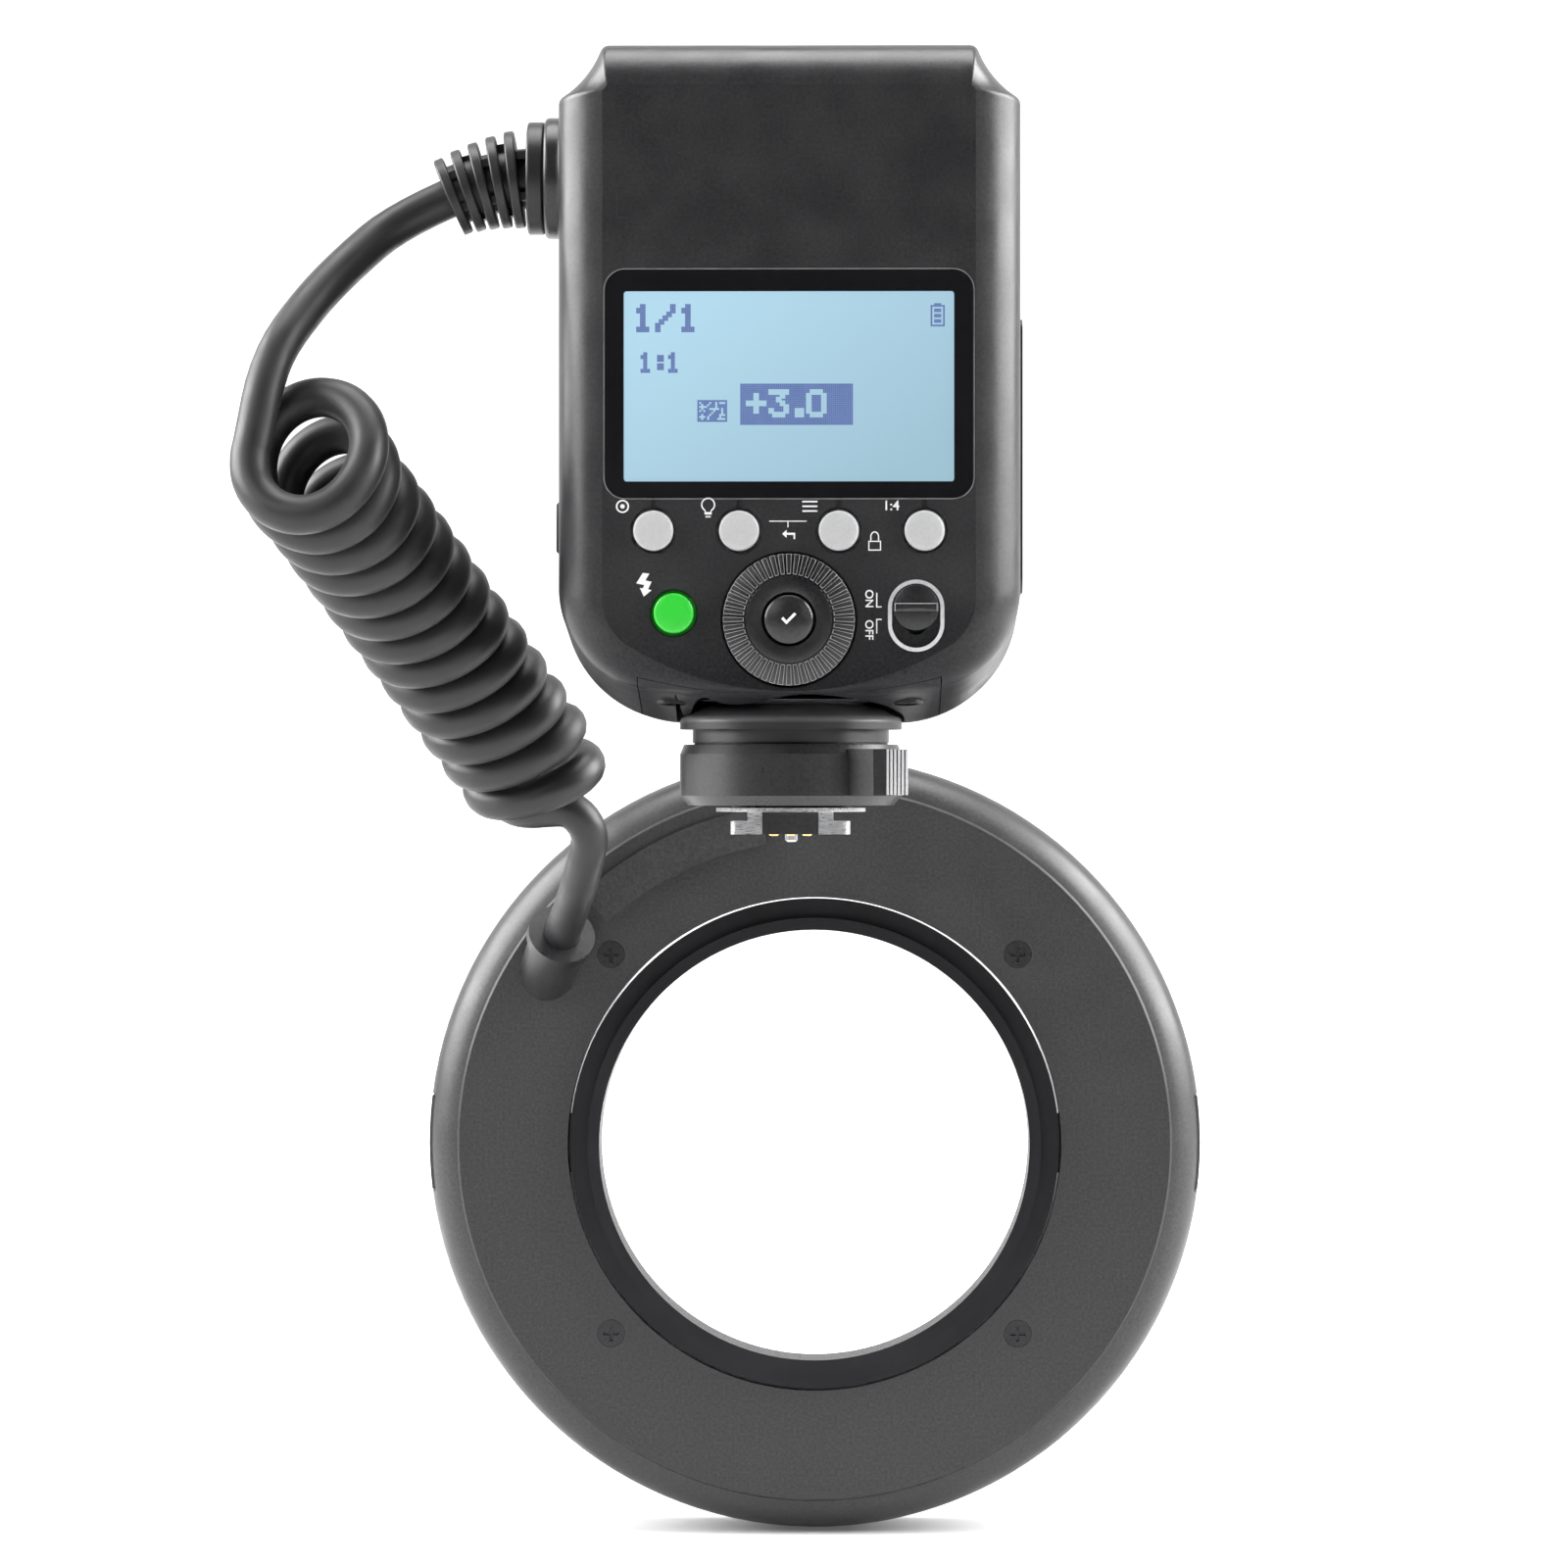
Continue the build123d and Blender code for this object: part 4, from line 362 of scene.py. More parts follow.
def make_finishes():
    """Every material by its finish, which is the record's slot where the record has that slot."""
    body = settings().body
    display = settings().display
    made = {
        "shell": satin_plastic("satin_charcoal", body.plastic, 0.36),
        "ring_shell": satin_plastic("satin_ring_charcoal", (0.021, 0.021, 0.022), 0.4),
        "dial_black": satin_plastic("satin_black", (0.011, 0.011, 0.012), 0.3),
        "dark_plastic": satin_plastic("semi_gloss_black", (0.016, 0.016, 0.017), 0.32),
        "battery_case": satin_plastic("battery_case_grey", (0.035, 0.035, 0.038), 0.5),
        "key_grey": satin_plastic("button_light_grey", body.key, 0.42, 0.95, 1.05),
        "release_grey": satin_plastic("release_dark_grey", (0.045, 0.045, 0.048), 0.42),
        "cord_rubber": rubber("cord_rubber", settings().cord.colour, 0.46),
        "gland_rubber": rubber("strain_relief_rubber", (0.012, 0.012, 0.013), 0.42),
        "foot_metal": ground_metal("ground_steel", (0.62, 0.62, 0.63), 0.3, (12, 1, 1)),
        "screw_steel": ground_metal("black_screw_steel", (0.05, 0.05, 0.052), 0.34, (1, 1, 6)),
        "contact_gold": ground_metal("gold_contact", (0.86, 0.62, 0.26), 0.24, (1, 1, 4)),
        # Pale grey: the silver of the lock's grip, and a painted highlight on the switch rim
        "bright_metal": satin_plastic("silver_and_rim_highlight", (0.50, 0.50, 0.51), 0.3, 0.9, 1.1),
        "adapter_metal": ground_metal("black_anodised", (0.03, 0.03, 0.032), 0.38, (1, 14, 1)),
    }

    shell = made["shell"]
    shell.feed(rising(shell, SHELL_SHEEN_RISE, *SHELL_SHEEN), "Specular IOR Level")

    gloss = Finish("gloss_black", (0.006, 0.006, 0.007), 0.1, Coat_Weight=0.6, Coat_Roughness=0.03)
    gloss.mottled(30 * MM, 0.8, 1.2).polished(7 * MM, 0.07, 0.15)
    made["gloss_black"] = gloss.grained(5 * MM, 0.004 * MM, 1.0)

    flange = satin_plastic("flange_black", FLANGE_COLOUR, 0.36)
    # Above these heights the flange is painted pale, a painted highlight in place of the gloss on
    # its dome
    painted_highlight = flange.ramp(rising(flange, FLANGE_HIGHLIGHT_RISE), (0.0, FLANGE_COLOUR), (1.0, FLANGE_PAINTED_HIGHLIGHT))
    flange.feed(painted_highlight, "Base Color")
    made["flange_black"] = flange

    green = Finish("button_green", body.test_key, 0.36, Emission_Strength=0.12)
    green.surface.inputs["Emission Color"].default_value = (*body.test_key, 1)
    green.mottled(5 * MM, 0.94, 1.06).polished(3 * MM, 0.32, 0.4)
    made["key_green"] = green.grained(0.22 * MM, 0.006 * MM)

    lit = Finish("lit_display", (0.02, 0.03, 0.04), 0.12, Emission_Strength=display.strength)
    across = lit.spread(lit.along("Z", (0, GLOW_LEAN, 0)), 0, 1, *GLOW_REACH)
    glow = lit.ramp(across, *zip((0.0, 0.5, 1.0), shaded(display.backlight, 0.84, 0.97, 1.12)))
    lit.feed(glow, "Emission Color")
    made["display"] = lit.polished(20 * MM, 0.1, 0.16)

    board = Finish("green_circuit_board", (0.012, 0.085, 0.04), 0.3)
    tracks = board.node("ShaderNodeTexBrick", Scale=1 / (9 * MM), Mortar_Size=0.06)
    board.link(board.place((math.pi / 2, 0, 0)), tracks.inputs["Vector"])
    dark, light = shaded(board.colour, 0.8, 1.9)
    tracks.inputs["Color1"].default_value = (*board.colour, 1)
    tracks.inputs["Color2"].default_value = (*dark, 1)
    tracks.inputs["Mortar"].default_value = (*light, 1)
    board.feed(tracks.outputs["Color"], "Base Color")
    made["circuit"] = board.raised(tracks.outputs["Fac"], 0.03 * MM).polished(4 * MM, 0.24, 0.38)

    sleeve = Finish("blue_shrink_sleeve", (0.012, 0.016, 0.05), 0.22, Coat_Weight=0.4)
    sleeve.mottled(8 * MM, 0.85, 1.2).polished(5 * MM, 0.18, 0.3)
    made["capacitor_sleeve"] = sleeve.grained(2 * MM, 0.02 * MM, 1.0)

    red = Finish("dark_red_window", (0.05, 0.003, 0.004), 0.12, Coat_Weight=0.7)
    red.mottled(9 * MM, 0.8, 1.3).polished(5 * MM, 0.08, 0.16)
    made["window_red"] = red.grained(1.4 * MM, 0.01 * MM, 0.0)

    frosted = Finish(
        "frosted_window", (0.90, 0.91, 0.92), 0.34, Transmission_Weight=0.55, IOR=1.49
    )
    frosted.mottled(18 * MM, 0.96, 1.02).polished(4 * MM, 0.3, 0.42)
    made["diffuser"] = frosted.grained(0.5 * MM, 0.02 * MM, 2.0)

    mirror = Finish("bright_trough", (0.86, 0.86, 0.88), 0.12, Metallic=1.0)
    mirror.mottled(10 * MM, 0.94, 1.03).polished(6 * MM, 0.08, 0.18)
    made["reflector"] = mirror.grained(2.2 * MM, 0.03 * MM, 1.0)

    glass = Finish("tube_glass", (0.95, 0.94, 0.9), 0.05, Transmission_Weight=0.85, IOR=1.47)
    glass.mottled(12 * MM, 0.95, 1.03).polished(9 * MM, 0.03, 0.09)
    made["tube_glass"] = glass.grained(6 * MM, 0.02 * MM, 1.0)

    lens = Finish("lamp_lens", (0.94, 0.93, 0.86), 0.07, Transmission_Weight=0.7, IOR=1.5)
    lens.mottled(3 * MM, 0.93, 1.04).polished(3 * MM, 0.05, 0.12)
    made["lamp_lens"] = lens.grained(0.9 * MM, 0.02 * MM, 0.0)

    ink = Finish("display_dots", (0.01, 0.01, 0.02), 0.2, Emission_Strength=display.strength)
    ink.feed(ink.clouded(3 * MM, display.ink, 0.93, 1.06, 2.0), "Emission Color")
    made["display_dots"] = ink

    # A pale grey that paints highlights along the wheel's ribs, the knob's ledge and the display
    # frame's seam
    edge = Finish("painted_edge_highlight", (0.30, 0.30, 0.305), 0.35)
    edge.mottled(3 * MM, 0.8, 1.2).polished(1 * MM, 0.28, 0.45)
    made["edge_highlight"] = edge.grained(0.1 * MM, 0.004 * MM)

    paint = Finish("white_print", body.print_colour, 0.5)
    paint.mottled(1.5 * MM, 0.93, 1.05).polished(0.8 * MM, 0.44, 0.58)
    made["print"] = paint.grained(0.08 * MM, 0.004 * MM, 3.0)
    return {name: finish.material for name, finish in made.items()}


# The materials by finish, once they are made
FINISHES = {}


def finished(piece, finish):
    """Gives a new piece its finish."""
    piece.data.materials.clear()
    piece.data.materials.append(FINISHES[finish])
    return piece


# ---- modelling helpers


def set_mode(mode):
    """Goes to edit mode or object mode."""
    bpy.ops.object.mode_set(mode=mode)


def clear_selection():
    """Deselects everything, since an operator acts on all that is selected."""
    if bpy.context.mode != "OBJECT":
        set_mode("OBJECT")
    bpy.ops.object.select_all(action="DESELECT")


def just_added(name):
    """The object that an operator has just added, under its own name."""
    piece = bpy.context.view_layer.objects.active
    piece.name = name
    piece.data.name = name
    return piece


def only(piece):
    """Makes a piece the only one selected, and active."""
    clear_selection()
    piece.select_set(True)
    bpy.context.view_layer.objects.active = piece


def settled(piece):
    """Puts a piece's place into its mesh."""
    only(piece)
    bpy.ops.object.transform_apply(location=True, rotation=True, scale=True)
    return piece


def as_mesh(piece):
    """Turns a text or a curve into a mesh with its place applied."""
    only(piece)
    bpy.ops.object.convert(target="MESH")
    return settled(bpy.context.view_layer.objects.active)


def pick_faces(piece, wanted):
    """Selects the faces whose middle and normal pass a test."""
    set_mode("OBJECT")
    for face in piece.data.polygons:
        face.select = bool(wanted(face.center, face.normal))
    for edge in piece.data.edges:
        edge.select = False
    for vertex in piece.data.vertices:
        vertex.select = False
    for face in piece.data.polygons:
        if face.select:
            for index in face.vertices:
                piece.data.vertices[index].select = True
    set_mode("EDIT")
    bpy.ops.mesh.select_mode(type="FACE")


def smoothed(piece, degrees):
    """Shades smooth, and keeps edges sharper than an angle."""
    only(piece)
    bpy.ops.object.shade_smooth_by_angle(angle=math.radians(degrees))
    return piece


def joined(pieces, name):
    """Several meshes as one piece."""
    clear_selection()
    for piece in pieces:
        piece.select_set(True)
    bpy.context.view_layer.objects.active = pieces[0]
    if len(pieces) > 1:
        bpy.ops.object.join()
    return just_added(name)


def arc(x, z, reach_x, reach_z, first, last, steps):
    """Points from one angle to another, in millimetres and degrees."""
    angles = [math.radians(first + (last - first) * i / steps) for i in range(steps + 1)]
    return [(x + reach_x * math.cos(a), z + reach_z * math.sin(a)) for a in angles]


def ring_outline(x, z, radius, steps=40):
    """A circle as points in millimetres."""
    return arc(x, z, radius, radius, 0, 360, steps)[:-1]


def bar_outline(x, z, width, height):
    """A rectangle round its middle, as points in millimetres."""
    return [
        (x - width / 2, z - height / 2),
        (x + width / 2, z - height / 2),
        (x + width / 2, z + height / 2),
        (x - width / 2, z + height / 2),
    ]


def rounded_outline(x, z, width, height, corner, steps):
    """A rectangle with round corners, as points in millimetres."""
    points = []
    for index, (side, level) in enumerate(((1, 1), (-1, 1), (-1, -1), (1, -1))):
        middle_x = x + side * (width / 2 - corner)
        middle_z = z + level * (height / 2 - corner)
        first = 90 * index
        points += arc(middle_x, middle_z, corner, corner, first, first + 90, steps)
    return points


def new_curve(name, paths, closed, kind="POLY"):
    """A curve object through paths of points in metres."""
    curve = bpy.data.curves.new(name, "CURVE")
    curve.dimensions = "3D"
    for path in paths:
        spline = curve.splines.new(kind)
        spline.points.add(len(path) - 1)
        spline.use_cyclic_u = closed
        for point, place in zip(spline.points, path):
            point.co = (*place, 1)
    piece = bpy.data.objects.new(name, curve)
    bpy.context.scene.collection.objects.link(piece)
    return piece


def flat_piece(name, outlines, surface_y, proud):
    """Outlines of x and z in millimetres as one thin piece on a face that looks to the rear."""
    paths = [[(x * MM, z * MM, 0) for x, z in outline] for outline in outlines]
    piece = new_curve(name, paths, True)
    piece.data.dimensions = "2D"
    piece.data.fill_mode = "BOTH"
    piece.data.extrude = proud / 2
    piece.rotation_euler = (math.pi / 2, 0, 0)
    piece.location = (0, surface_y - proud / 2, 0)
    return as_mesh(piece)


def spun(name, profile, x=0.0, z=0.0, upright=False, steps=96):
    """A profile in millimetres turned round an axis: radius and y, or radius and z if upright."""
    path = [
        Vector((radius, 0, level) if upright else (x + radius, level, z)) * MM
        for radius, level in profile
    ]
    piece = as_mesh(new_curve(name, [path], profile[0][0] > 0))
    set_mode("EDIT")
    bpy.ops.mesh.select_all(action="SELECT")
    bpy.ops.mesh.spin(
        steps=steps,
        angle=2 * math.pi,
        center=(0, 0, 0) if upright else (x * MM, 0, z * MM),
        axis=(0, 0, 1) if upright else (0, 1, 0),
    )
    bpy.ops.mesh.select_all(action="SELECT")
    bpy.ops.mesh.remove_doubles(threshold=0.001 * MM)
    bpy.ops.mesh.normals_make_consistent(inside=False)
    set_mode("OBJECT")
    piece.name = name
    return smoothed(piece, 30)


def ringed(piece, count, x, z, name):
    """Copies of a piece all round an axis along Y, joined to one."""
    middle = Matrix.Translation((x * MM, 0, z * MM))
    copies = [piece]
    for index in range(1, count):
        copy = piece.copy()
        copy.data = piece.data.copy()
        bpy.context.scene.collection.objects.link(copy)
        turn = Matrix.Rotation(2 * math.pi * index / count, 4, "Y")
        copy.data.transform(middle @ turn @ middle.inverted())
        copies.append(copy)
    return joined(copies, name)


def bevelled_block(name, middle, size, bevel):
    """A block with all its edges rounded, from millimetres."""
    clear_selection()
    bpy.ops.mesh.primitive_cube_add(size=1, location=[c * MM for c in middle])
    piece = just_added(name)
    piece.scale = [c * MM for c in size]
    settled(piece)
    set_mode("EDIT")
    bpy.ops.mesh.select_all(action="SELECT")
    bpy.ops.mesh.bevel(offset=bevel * MM, segments=2, affect="EDGES")
    set_mode("OBJECT")
    return piece


# ---- the curly cord

# The cord's way from the strain relief to the coil, and from the coil to the ring head's boss
TOP_ROUTE = (
    (-53.618, -2.0, 99.591),
    (-61.840, -2.0, 95.931),
    (-68.7, -7.0, 89.3),
    (-74.6, -12.5, 82.4),
    (-80.207, -19.764, 73.090),
    (-82.371, -22.852, 60.024),
)
BOTTOM_ROUTE = (
    (-41.525, 52.167, 3.745),
    (-36.563, 50.632, 4.004),
    (-33.4, 51.9, -0.2),
    (-34.6, 56.0, -4.6),
    (-36.1, 62.5, -9.6),
    (-38.110, 71.162, -14.145),
    (-40.179, 78.359, -19.138),
)
COIL_START = (-74.2, -26.0, 57.8)
COIL_ACROSS = (0.552, 0.0, -0.834)
COIL_START_LEAN = 28.0
COIL_START_ANGLE = 132.0
# How far each turn sags, and where the outermost turns are pulled aside: at which turn, over how
# many turns to either side, and how far in millimetres
COIL_SAG = 0.033
COIL_PULLS = (
    (0.75, 0.5, (0.4, 0.9, 3.7)),
    (0.9, 0.4, (-2.2, 0.0, 0.4)),
    (1.75, 0.5, (-0.6, 0.3, 1.9)),
    (12.6, 0.5, (-0.3, 0.0, -2.0)),
    (13.0, 0.5, (0.5, 4.0, 4.0)),
    (13.5, 0.7, (-1.5, 12.0, 1.0)),
)
POINTS_PER_TURN = 16


def coil_middle(turns):
    """The coil's middle point after some turns, and the two directions across it."""
    cord = settings().cord
    across = Vector(COIL_ACROSS).normalized()
    forward = Vector((0, 1, 0))
    start = math.radians(COIL_START_LEAN)
    lean = start + turns * cord.coil_pitch / cord.coil_bend
    shift = across * (math.cos(start) - math.cos(lean)) + forward * (
        math.sin(lean) - math.sin(start)
    )
    leaning = across * math.cos(lean) - forward * math.sin(lean)
    return Vector(COIL_START) * MM + shift * cord.coil_bend, leaning, forward.cross(across)


def cord_route():
    """The cord's control points: the way in, the helix turn by turn, and the way out."""
    cord = settings().cord
    # The spline runs inside its points, so these stand on a slightly larger circle
    reach = cord.coil_radius / (0.75 + 0.25 * math.cos(2 * math.pi / POINTS_PER_TURN))
    route = [Vector(p) * MM for p in TOP_ROUTE]
    for i in range(round(cord.coil_turns * POINTS_PER_TURN) + 1):
        turns = i / POINTS_PER_TURN
        middle, leaning, steady = coil_middle(turns)
        angle = math.radians(COIL_START_ANGLE) - 2 * math.pi * turns
        point = middle + leaning * reach * math.cos(angle) + steady * reach * math.sin(angle)
        point.z -= COIL_SAG * turns * (point.y - middle.y)
        for centre, width, pull in COIL_PULLS:
            if abs(turns - centre) < width:
                share = math.cos(math.pi / 2 * (turns - centre) / width) ** 2
                point += Vector(pull) * MM * share
        route.append(point)
    return route + [Vector(p) * MM for p in BOTTOM_ROUTE]


class RINGFLASH_OT_curly_cord(bpy.types.Operator):
    """Model the curly cord from the strain relief to the ring head"""

    bl_idname = "ring_flash.curly_cord"
    bl_label = "Curly cord"

    def execute(self, context):
        cord = settings().cord
        line = new_curve("curly_cord", [cord_route()], False, "NURBS")
        line.data.resolution_u = 5
        line.data.splines[0].order_u = 3
        line.data.splines[0].use_endpoint_u = True
        traced = bpy.data.meshes.new_from_object(line)
        bpy.data.meshes.remove(traced)
        line.data.bevel_depth = cord.thickness / 2
        line.data.bevel_resolution = 6
        line.data.use_fill_caps = True
        piece = smoothed(finished(as_mesh(line), "cord_rubber"), 60)
        piece.name = "curly_cord"
        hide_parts("cord_top", "cord_coil", "cord_bottom")
        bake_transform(piece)
        return {"FINISHED"}


# ---- the camera and the stage

CAMERA_ASIDE = 10.62 * MM
CAMERA_YAW = math.atan(0.0117)
FILM_WIDTH = 36
FLOOR_SIZE = 7
FLOOR_BELOW = 0.5 * MM
BACKDROP_HEIGHT = 4
BACKDROP_BEND = 1.6
# How far behind the object the paper begins to glow, and where it glows fully
GLOW_DEPTH = (0.05, 0.5)
AIR_STRENGTH = 0.03
# Each soft light's place, its size and its share of the soft lights' power
SOFT_LIGHTS = {
    "left_wall": ((-0.95, 0.06, 0.50), (1.0, 0.8), 4.4),
    "right_wall": ((0.95, 0.06, 0.50), (1.0, 0.8), 4.9),
    "overhead": ((0.0, 0.12, 1.0), (1.0, 0.6), 1.8),
    "front_left": ((-0.75, -1.1, 0.7), (0.8, 0.8), 0.50),
    "front_right": ((0.85, -1.1, 0.5), (0.8, 0.8), 0.22),
}
LIGHT_AIM = (0, 0, 30 * MM)


class RINGFLASH_OT_camera(bpy.types.Operator):
    """Place the camera level behind the controller"""

    bl_idname = "ring_flash.camera"
    bl_label = "Camera"

    def execute(self, context):
        stage = settings().stage
        data = bpy.data.cameras.new("rear_view")
        data.lens = stage.lens
        data.sensor_width = FILM_WIDTH
        data.clip_start = 0.05
        data.clip_end = 30
        camera = bpy.data.objects.new("rear_view", data)
        bpy.context.scene.collection.objects.link(camera)
        camera.location = (CAMERA_ASIDE, -stage.distance, stage.eye_height)
        camera.rotation_euler = (math.pi / 2, 0, CAMERA_YAW)
        bpy.context.scene.camera = camera
        return {"FINISHED"}


class RINGFLASH_OT_stage(bpy.types.Operator):
    """Set up the pale floor with its backdrop and the soft studio lights"""

    bl_idname = "ring_flash.stage"
    bl_label = "Stage and light"

    def execute(self, context):
        clear_selection()
        level = CAD_BOX[0].z - FLOOR_BELOW
        bpy.ops.mesh.primitive_plane_add(size=FLOOR_SIZE, location=(0, 0, level))
        floor = just_added("pale_floor")
        set_mode("EDIT")
        bpy.ops.mesh.select_mode(type="EDGE")
        bpy.ops.mesh.select_all(action="DESELECT")
        set_mode("OBJECT")
        for edge in floor.data.edges:
            edge.select = all(floor.data.vertices[v].co.y > 1 for v in edge.vertices)
        set_mode("EDIT")
        bpy.ops.mesh.extrude_region_move(
            TRANSFORM_OT_translate={"value": (0, 0, BACKDROP_HEIGHT)}
        )
        set_mode("OBJECT")
        settled(floor)
        bend = floor.modifiers.new("Bevel", "BEVEL")
        bend.width, bend.segments, bend.limit_method = BACKDROP_BEND, 16, "ANGLE"
        bpy.ops.object.modifier_apply(modifier=bend.name)
        smoothed(floor, 60)
        paper = Finish("pale_paper", (0.60, 0.60, 0.60), 0.75, Emission_Strength=1.0)
        paper.mottled(300 * MM, 0.995, 1.005).grained(1.2 * MM, 0.01 * MM)
        # The sheet glows softly behind the object and is plain paper on the camera's side
        glow = paper.spread(paper.along("Y"), 0, 1, *GLOW_DEPTH)
        paper.feed(paper.ramp(glow, (0.0, (0, 0, 0)), (1.0, (1, 1, 1))), "Emission Color")
        floor.data.materials.append(paper.material)

        for name, (place, size, share) in SOFT_LIGHTS.items():
            self.soft_light(name, place, size, settings().stage.key_power * share)
        world = bpy.data.worlds.new("studio_air")
        world.use_nodes = True
        air = world.node_tree.nodes["Background"].inputs
        air["Color"].default_value = (1, 1, 1, 1)
        air["Strength"].default_value = AIR_STRENGTH
        bpy.context.scene.world = world
        bpy.context.scene.view_settings.view_transform = "Standard"
        return {"FINISHED"}

    def soft_light(self, name, place, size, power):
        """A rectangular soft light that looks at the controller."""
        data = bpy.data.lights.new(name, "AREA")
        data.shape = "RECTANGLE"
        data.size, data.size_y = size
        data.energy = power
        light = bpy.data.objects.new(name, data)
        bpy.context.scene.collection.objects.link(light)
        light.location = place
        aim = Vector(LIGHT_AIM) - Vector(place)
        light.rotation_euler = aim.to_track_quat("-Z", "Y").to_euler()


# ---- finishes on the solids


class RINGFLASH_OT_finishes(bpy.types.Operator):
    """Give every solid of the part its finish"""

    bl_idname = "ring_flash.finishes"
    bl_label = "Finishes"

    def execute(self, context):
        FINISHES.update(make_finishes())
        left = set(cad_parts)
        for finish, solids in SOLID_FINISHES.items():
            for solid in solids:
                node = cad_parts[solid]
                if not node.material_slots:
                    node.data.materials.append(FINISHES[finish])
                for slot in node.material_slots:
                    slot.material = FINISHES[finish]
                left.discard(solid)
        left -= {"cord_top", "cord_coil", "cord_bottom"}
        if left:
            raise RuntimeError("no finish for " + ", ".join(sorted(left)))
        return {"FINISHED"}


# ---- the controls

# Sizes and places here are in millimetres, and a profile's points are radius and y
KEY_PLACES = {
    "key_outer_left": (-20.70, 46.5),
    "key_inner_left": (-7.60, 46.5),
    "key_inner_right": (7.60, 46.5),
    "key_outer_right": (20.70, 46.5),
    "test_key": (-17.60, 33.9),
}
KEY_PROFILE = (
    (0, -28.94), (1.6, -28.93), (2.55, -28.88), (2.82, -28.80), (2.98, -28.66), (3.05, -28.46),
    (3.08, -27.4), (3.08, -25.5), (4.18, -25.5), (4.18, -24.62), (0, -24.62),
)
WHEEL_Z = 32.9
WHEEL_PROFILE = (
    (4.10, -24.75), (4.10, -29.50), (4.22, -29.66), (4.45, -29.72), (6.30, -29.72), (6.55, -29.66),
    (6.70, -29.46), (9.86, -28.70), (10.02, -28.56), (10.08, -28.36), (10.08, -27.15),
    (6.40, -27.15), (6.40, -25.45), (7.50, -25.45), (7.50, -24.75),
)
RIB_COUNT = 48
RIB_RADIUS = 8.42
RIB_Y = -29.20
RIB_SIZE = (3.2, 0.60, 0.84)
RIB_BEVEL = 0.075
RIB_TILT = math.atan2(0.78, 3.3)
# Within each radius a rib is narrowed by a share, so that the gaps between the ribs stay even
RIB_TAPER = ((8.0, 0.94), (7.4, 0.9), (6.95, 0.82))
BUTTON_PROFILE = (
    (0, -30.58), (0.9, -30.55), (1.8, -30.44), (2.6, -30.27), (3.2, -30.06), (3.52, -29.90),
    (3.68, -29.74), (3.74, -29.50), (3.74, -25.35), (0, -25.35),
)
TICK = (
    (-1.15, 32.95), (-0.85, 33.27), (-0.35, 32.72), (0.85, 33.95), (1.15, 33.65), (-0.35, 32.13),
)
KNOB_PLACE = (19.40, 34.75)
KNOB_LOW_PROFILE = (
    (0, -28.42), (3.30, -28.42), (3.43, -28.36), (3.48, -28.24), (3.48, -27.72), (1.28, -27.72),
    (1.28, -25.5), (3.0, -25.5), (3.0, -24.7), (0, -24.7),
)
KNOB_HIGH_PROFILE = (
    (0, -29.12), (3.22, -29.12), (3.38, -29.04), (3.44, -28.9), (3.44, -28.3), (0, -28.3),
)
# The knob's high part is cut off above this height, where the ledge is
KNOB_CUT_Z = 34.15
KNOB_EDGE_Z = (34.2, 35.28, 35.40)
KNOB_EDGE_HALVES = (3.12, 3.28)
FRAME_MIDDLE_Z = 68.9
GRIP_MIDDLE = (16.55, -12.6, 9.66)
GRIP_SIZE = (3.4, 10.9, 7.0)
GRIP_RIB_COUNT = 6
GRIP_RIB_STEP = 0.583
GRIP_RIB_FIRST = (15.10, -12.75, 9.66)
GRIP_RIB_SIZE = (0.40, 11.25, 7.05)
WASHER_PROFILE = (
    (9.4, 14.04), (15.1, 14.04), (15.2, 14.12), (15.2, 14.22), (15.1, 14.28), (9.4, 14.28),
)


class RINGFLASH_OT_key_caps(bpy.types.Operator):
    """Model the round buttons, each with its flange behind the wall"""

    bl_idname = "ring_flash.key_caps"
    bl_label = "Round buttons"

    def execute(self, context):
        for key, (x, z) in KEY_PLACES.items():
            cap = spun("cap_" + key, KEY_PROFILE, x, z, steps=64)
            finished(cap, "key_green" if key == "test_key" else "key_grey")
            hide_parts(key)
            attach(cap, key)
        return {"FINISHED"}


class RINGFLASH_OT_control_wheel(bpy.types.Operator):
    """Model the ribbed wheel and the domed button in its middle"""

    bl_idname = "ring_flash.control_wheel"
    bl_label = "Ribbed wheel"

    def execute(self, context):
        wheel = spun("wheel_body", WHEEL_PROFILE, 0, WHEEL_Z)
        finished(wheel, "dial_black")
        rib = bevelled_block("wheel_rib", (RIB_RADIUS, 0, 0), RIB_SIZE, RIB_BEVEL)
        set_mode("EDIT")
        for radius, width in RIB_TAPER:
            pick_faces(rib, lambda middle, normal: middle.x < radius * MM)
            bpy.ops.transform.resize(value=(1, 1, width))
        set_mode("OBJECT")
        rib.data.materials.append(FINISHES["dial_black"])
        rib.data.materials.append(FINISHES["edge_highlight"])
        # The rounded rear edges of each rib take the painted highlight
        for face in rib.data.polygons:
            face.material_index = int(-0.97 < face.normal.y < -0.3)
        rib.data.transform(
            Matrix.Translation((RIB_RADIUS * MM, RIB_Y * MM, WHEEL_Z * MM))
            @ Matrix.Rotation(RIB_TILT, 4, "Z")
            @ Matrix.Translation((-RIB_RADIUS * MM, 0, 0))
        )
        ribs = smoothed(ringed(rib, RIB_COUNT, 0, WHEEL_Z, "wheel_ribs"), 40)
        piece = joined([wheel, ribs], "control_wheel")
        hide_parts("dial")
        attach(piece, "dial")

        button = spun("wheel_button", BUTTON_PROFILE, 0, WHEEL_Z)
        finished(button, "dial_black")
        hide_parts("set_button")
        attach(button, "set_button")
        tick = flat_piece("mark_tick", [TICK], -30.50 * MM, 0.12 * MM)
        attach(finished(tick, "print"), "set_button")
        return {"FINISHED"}


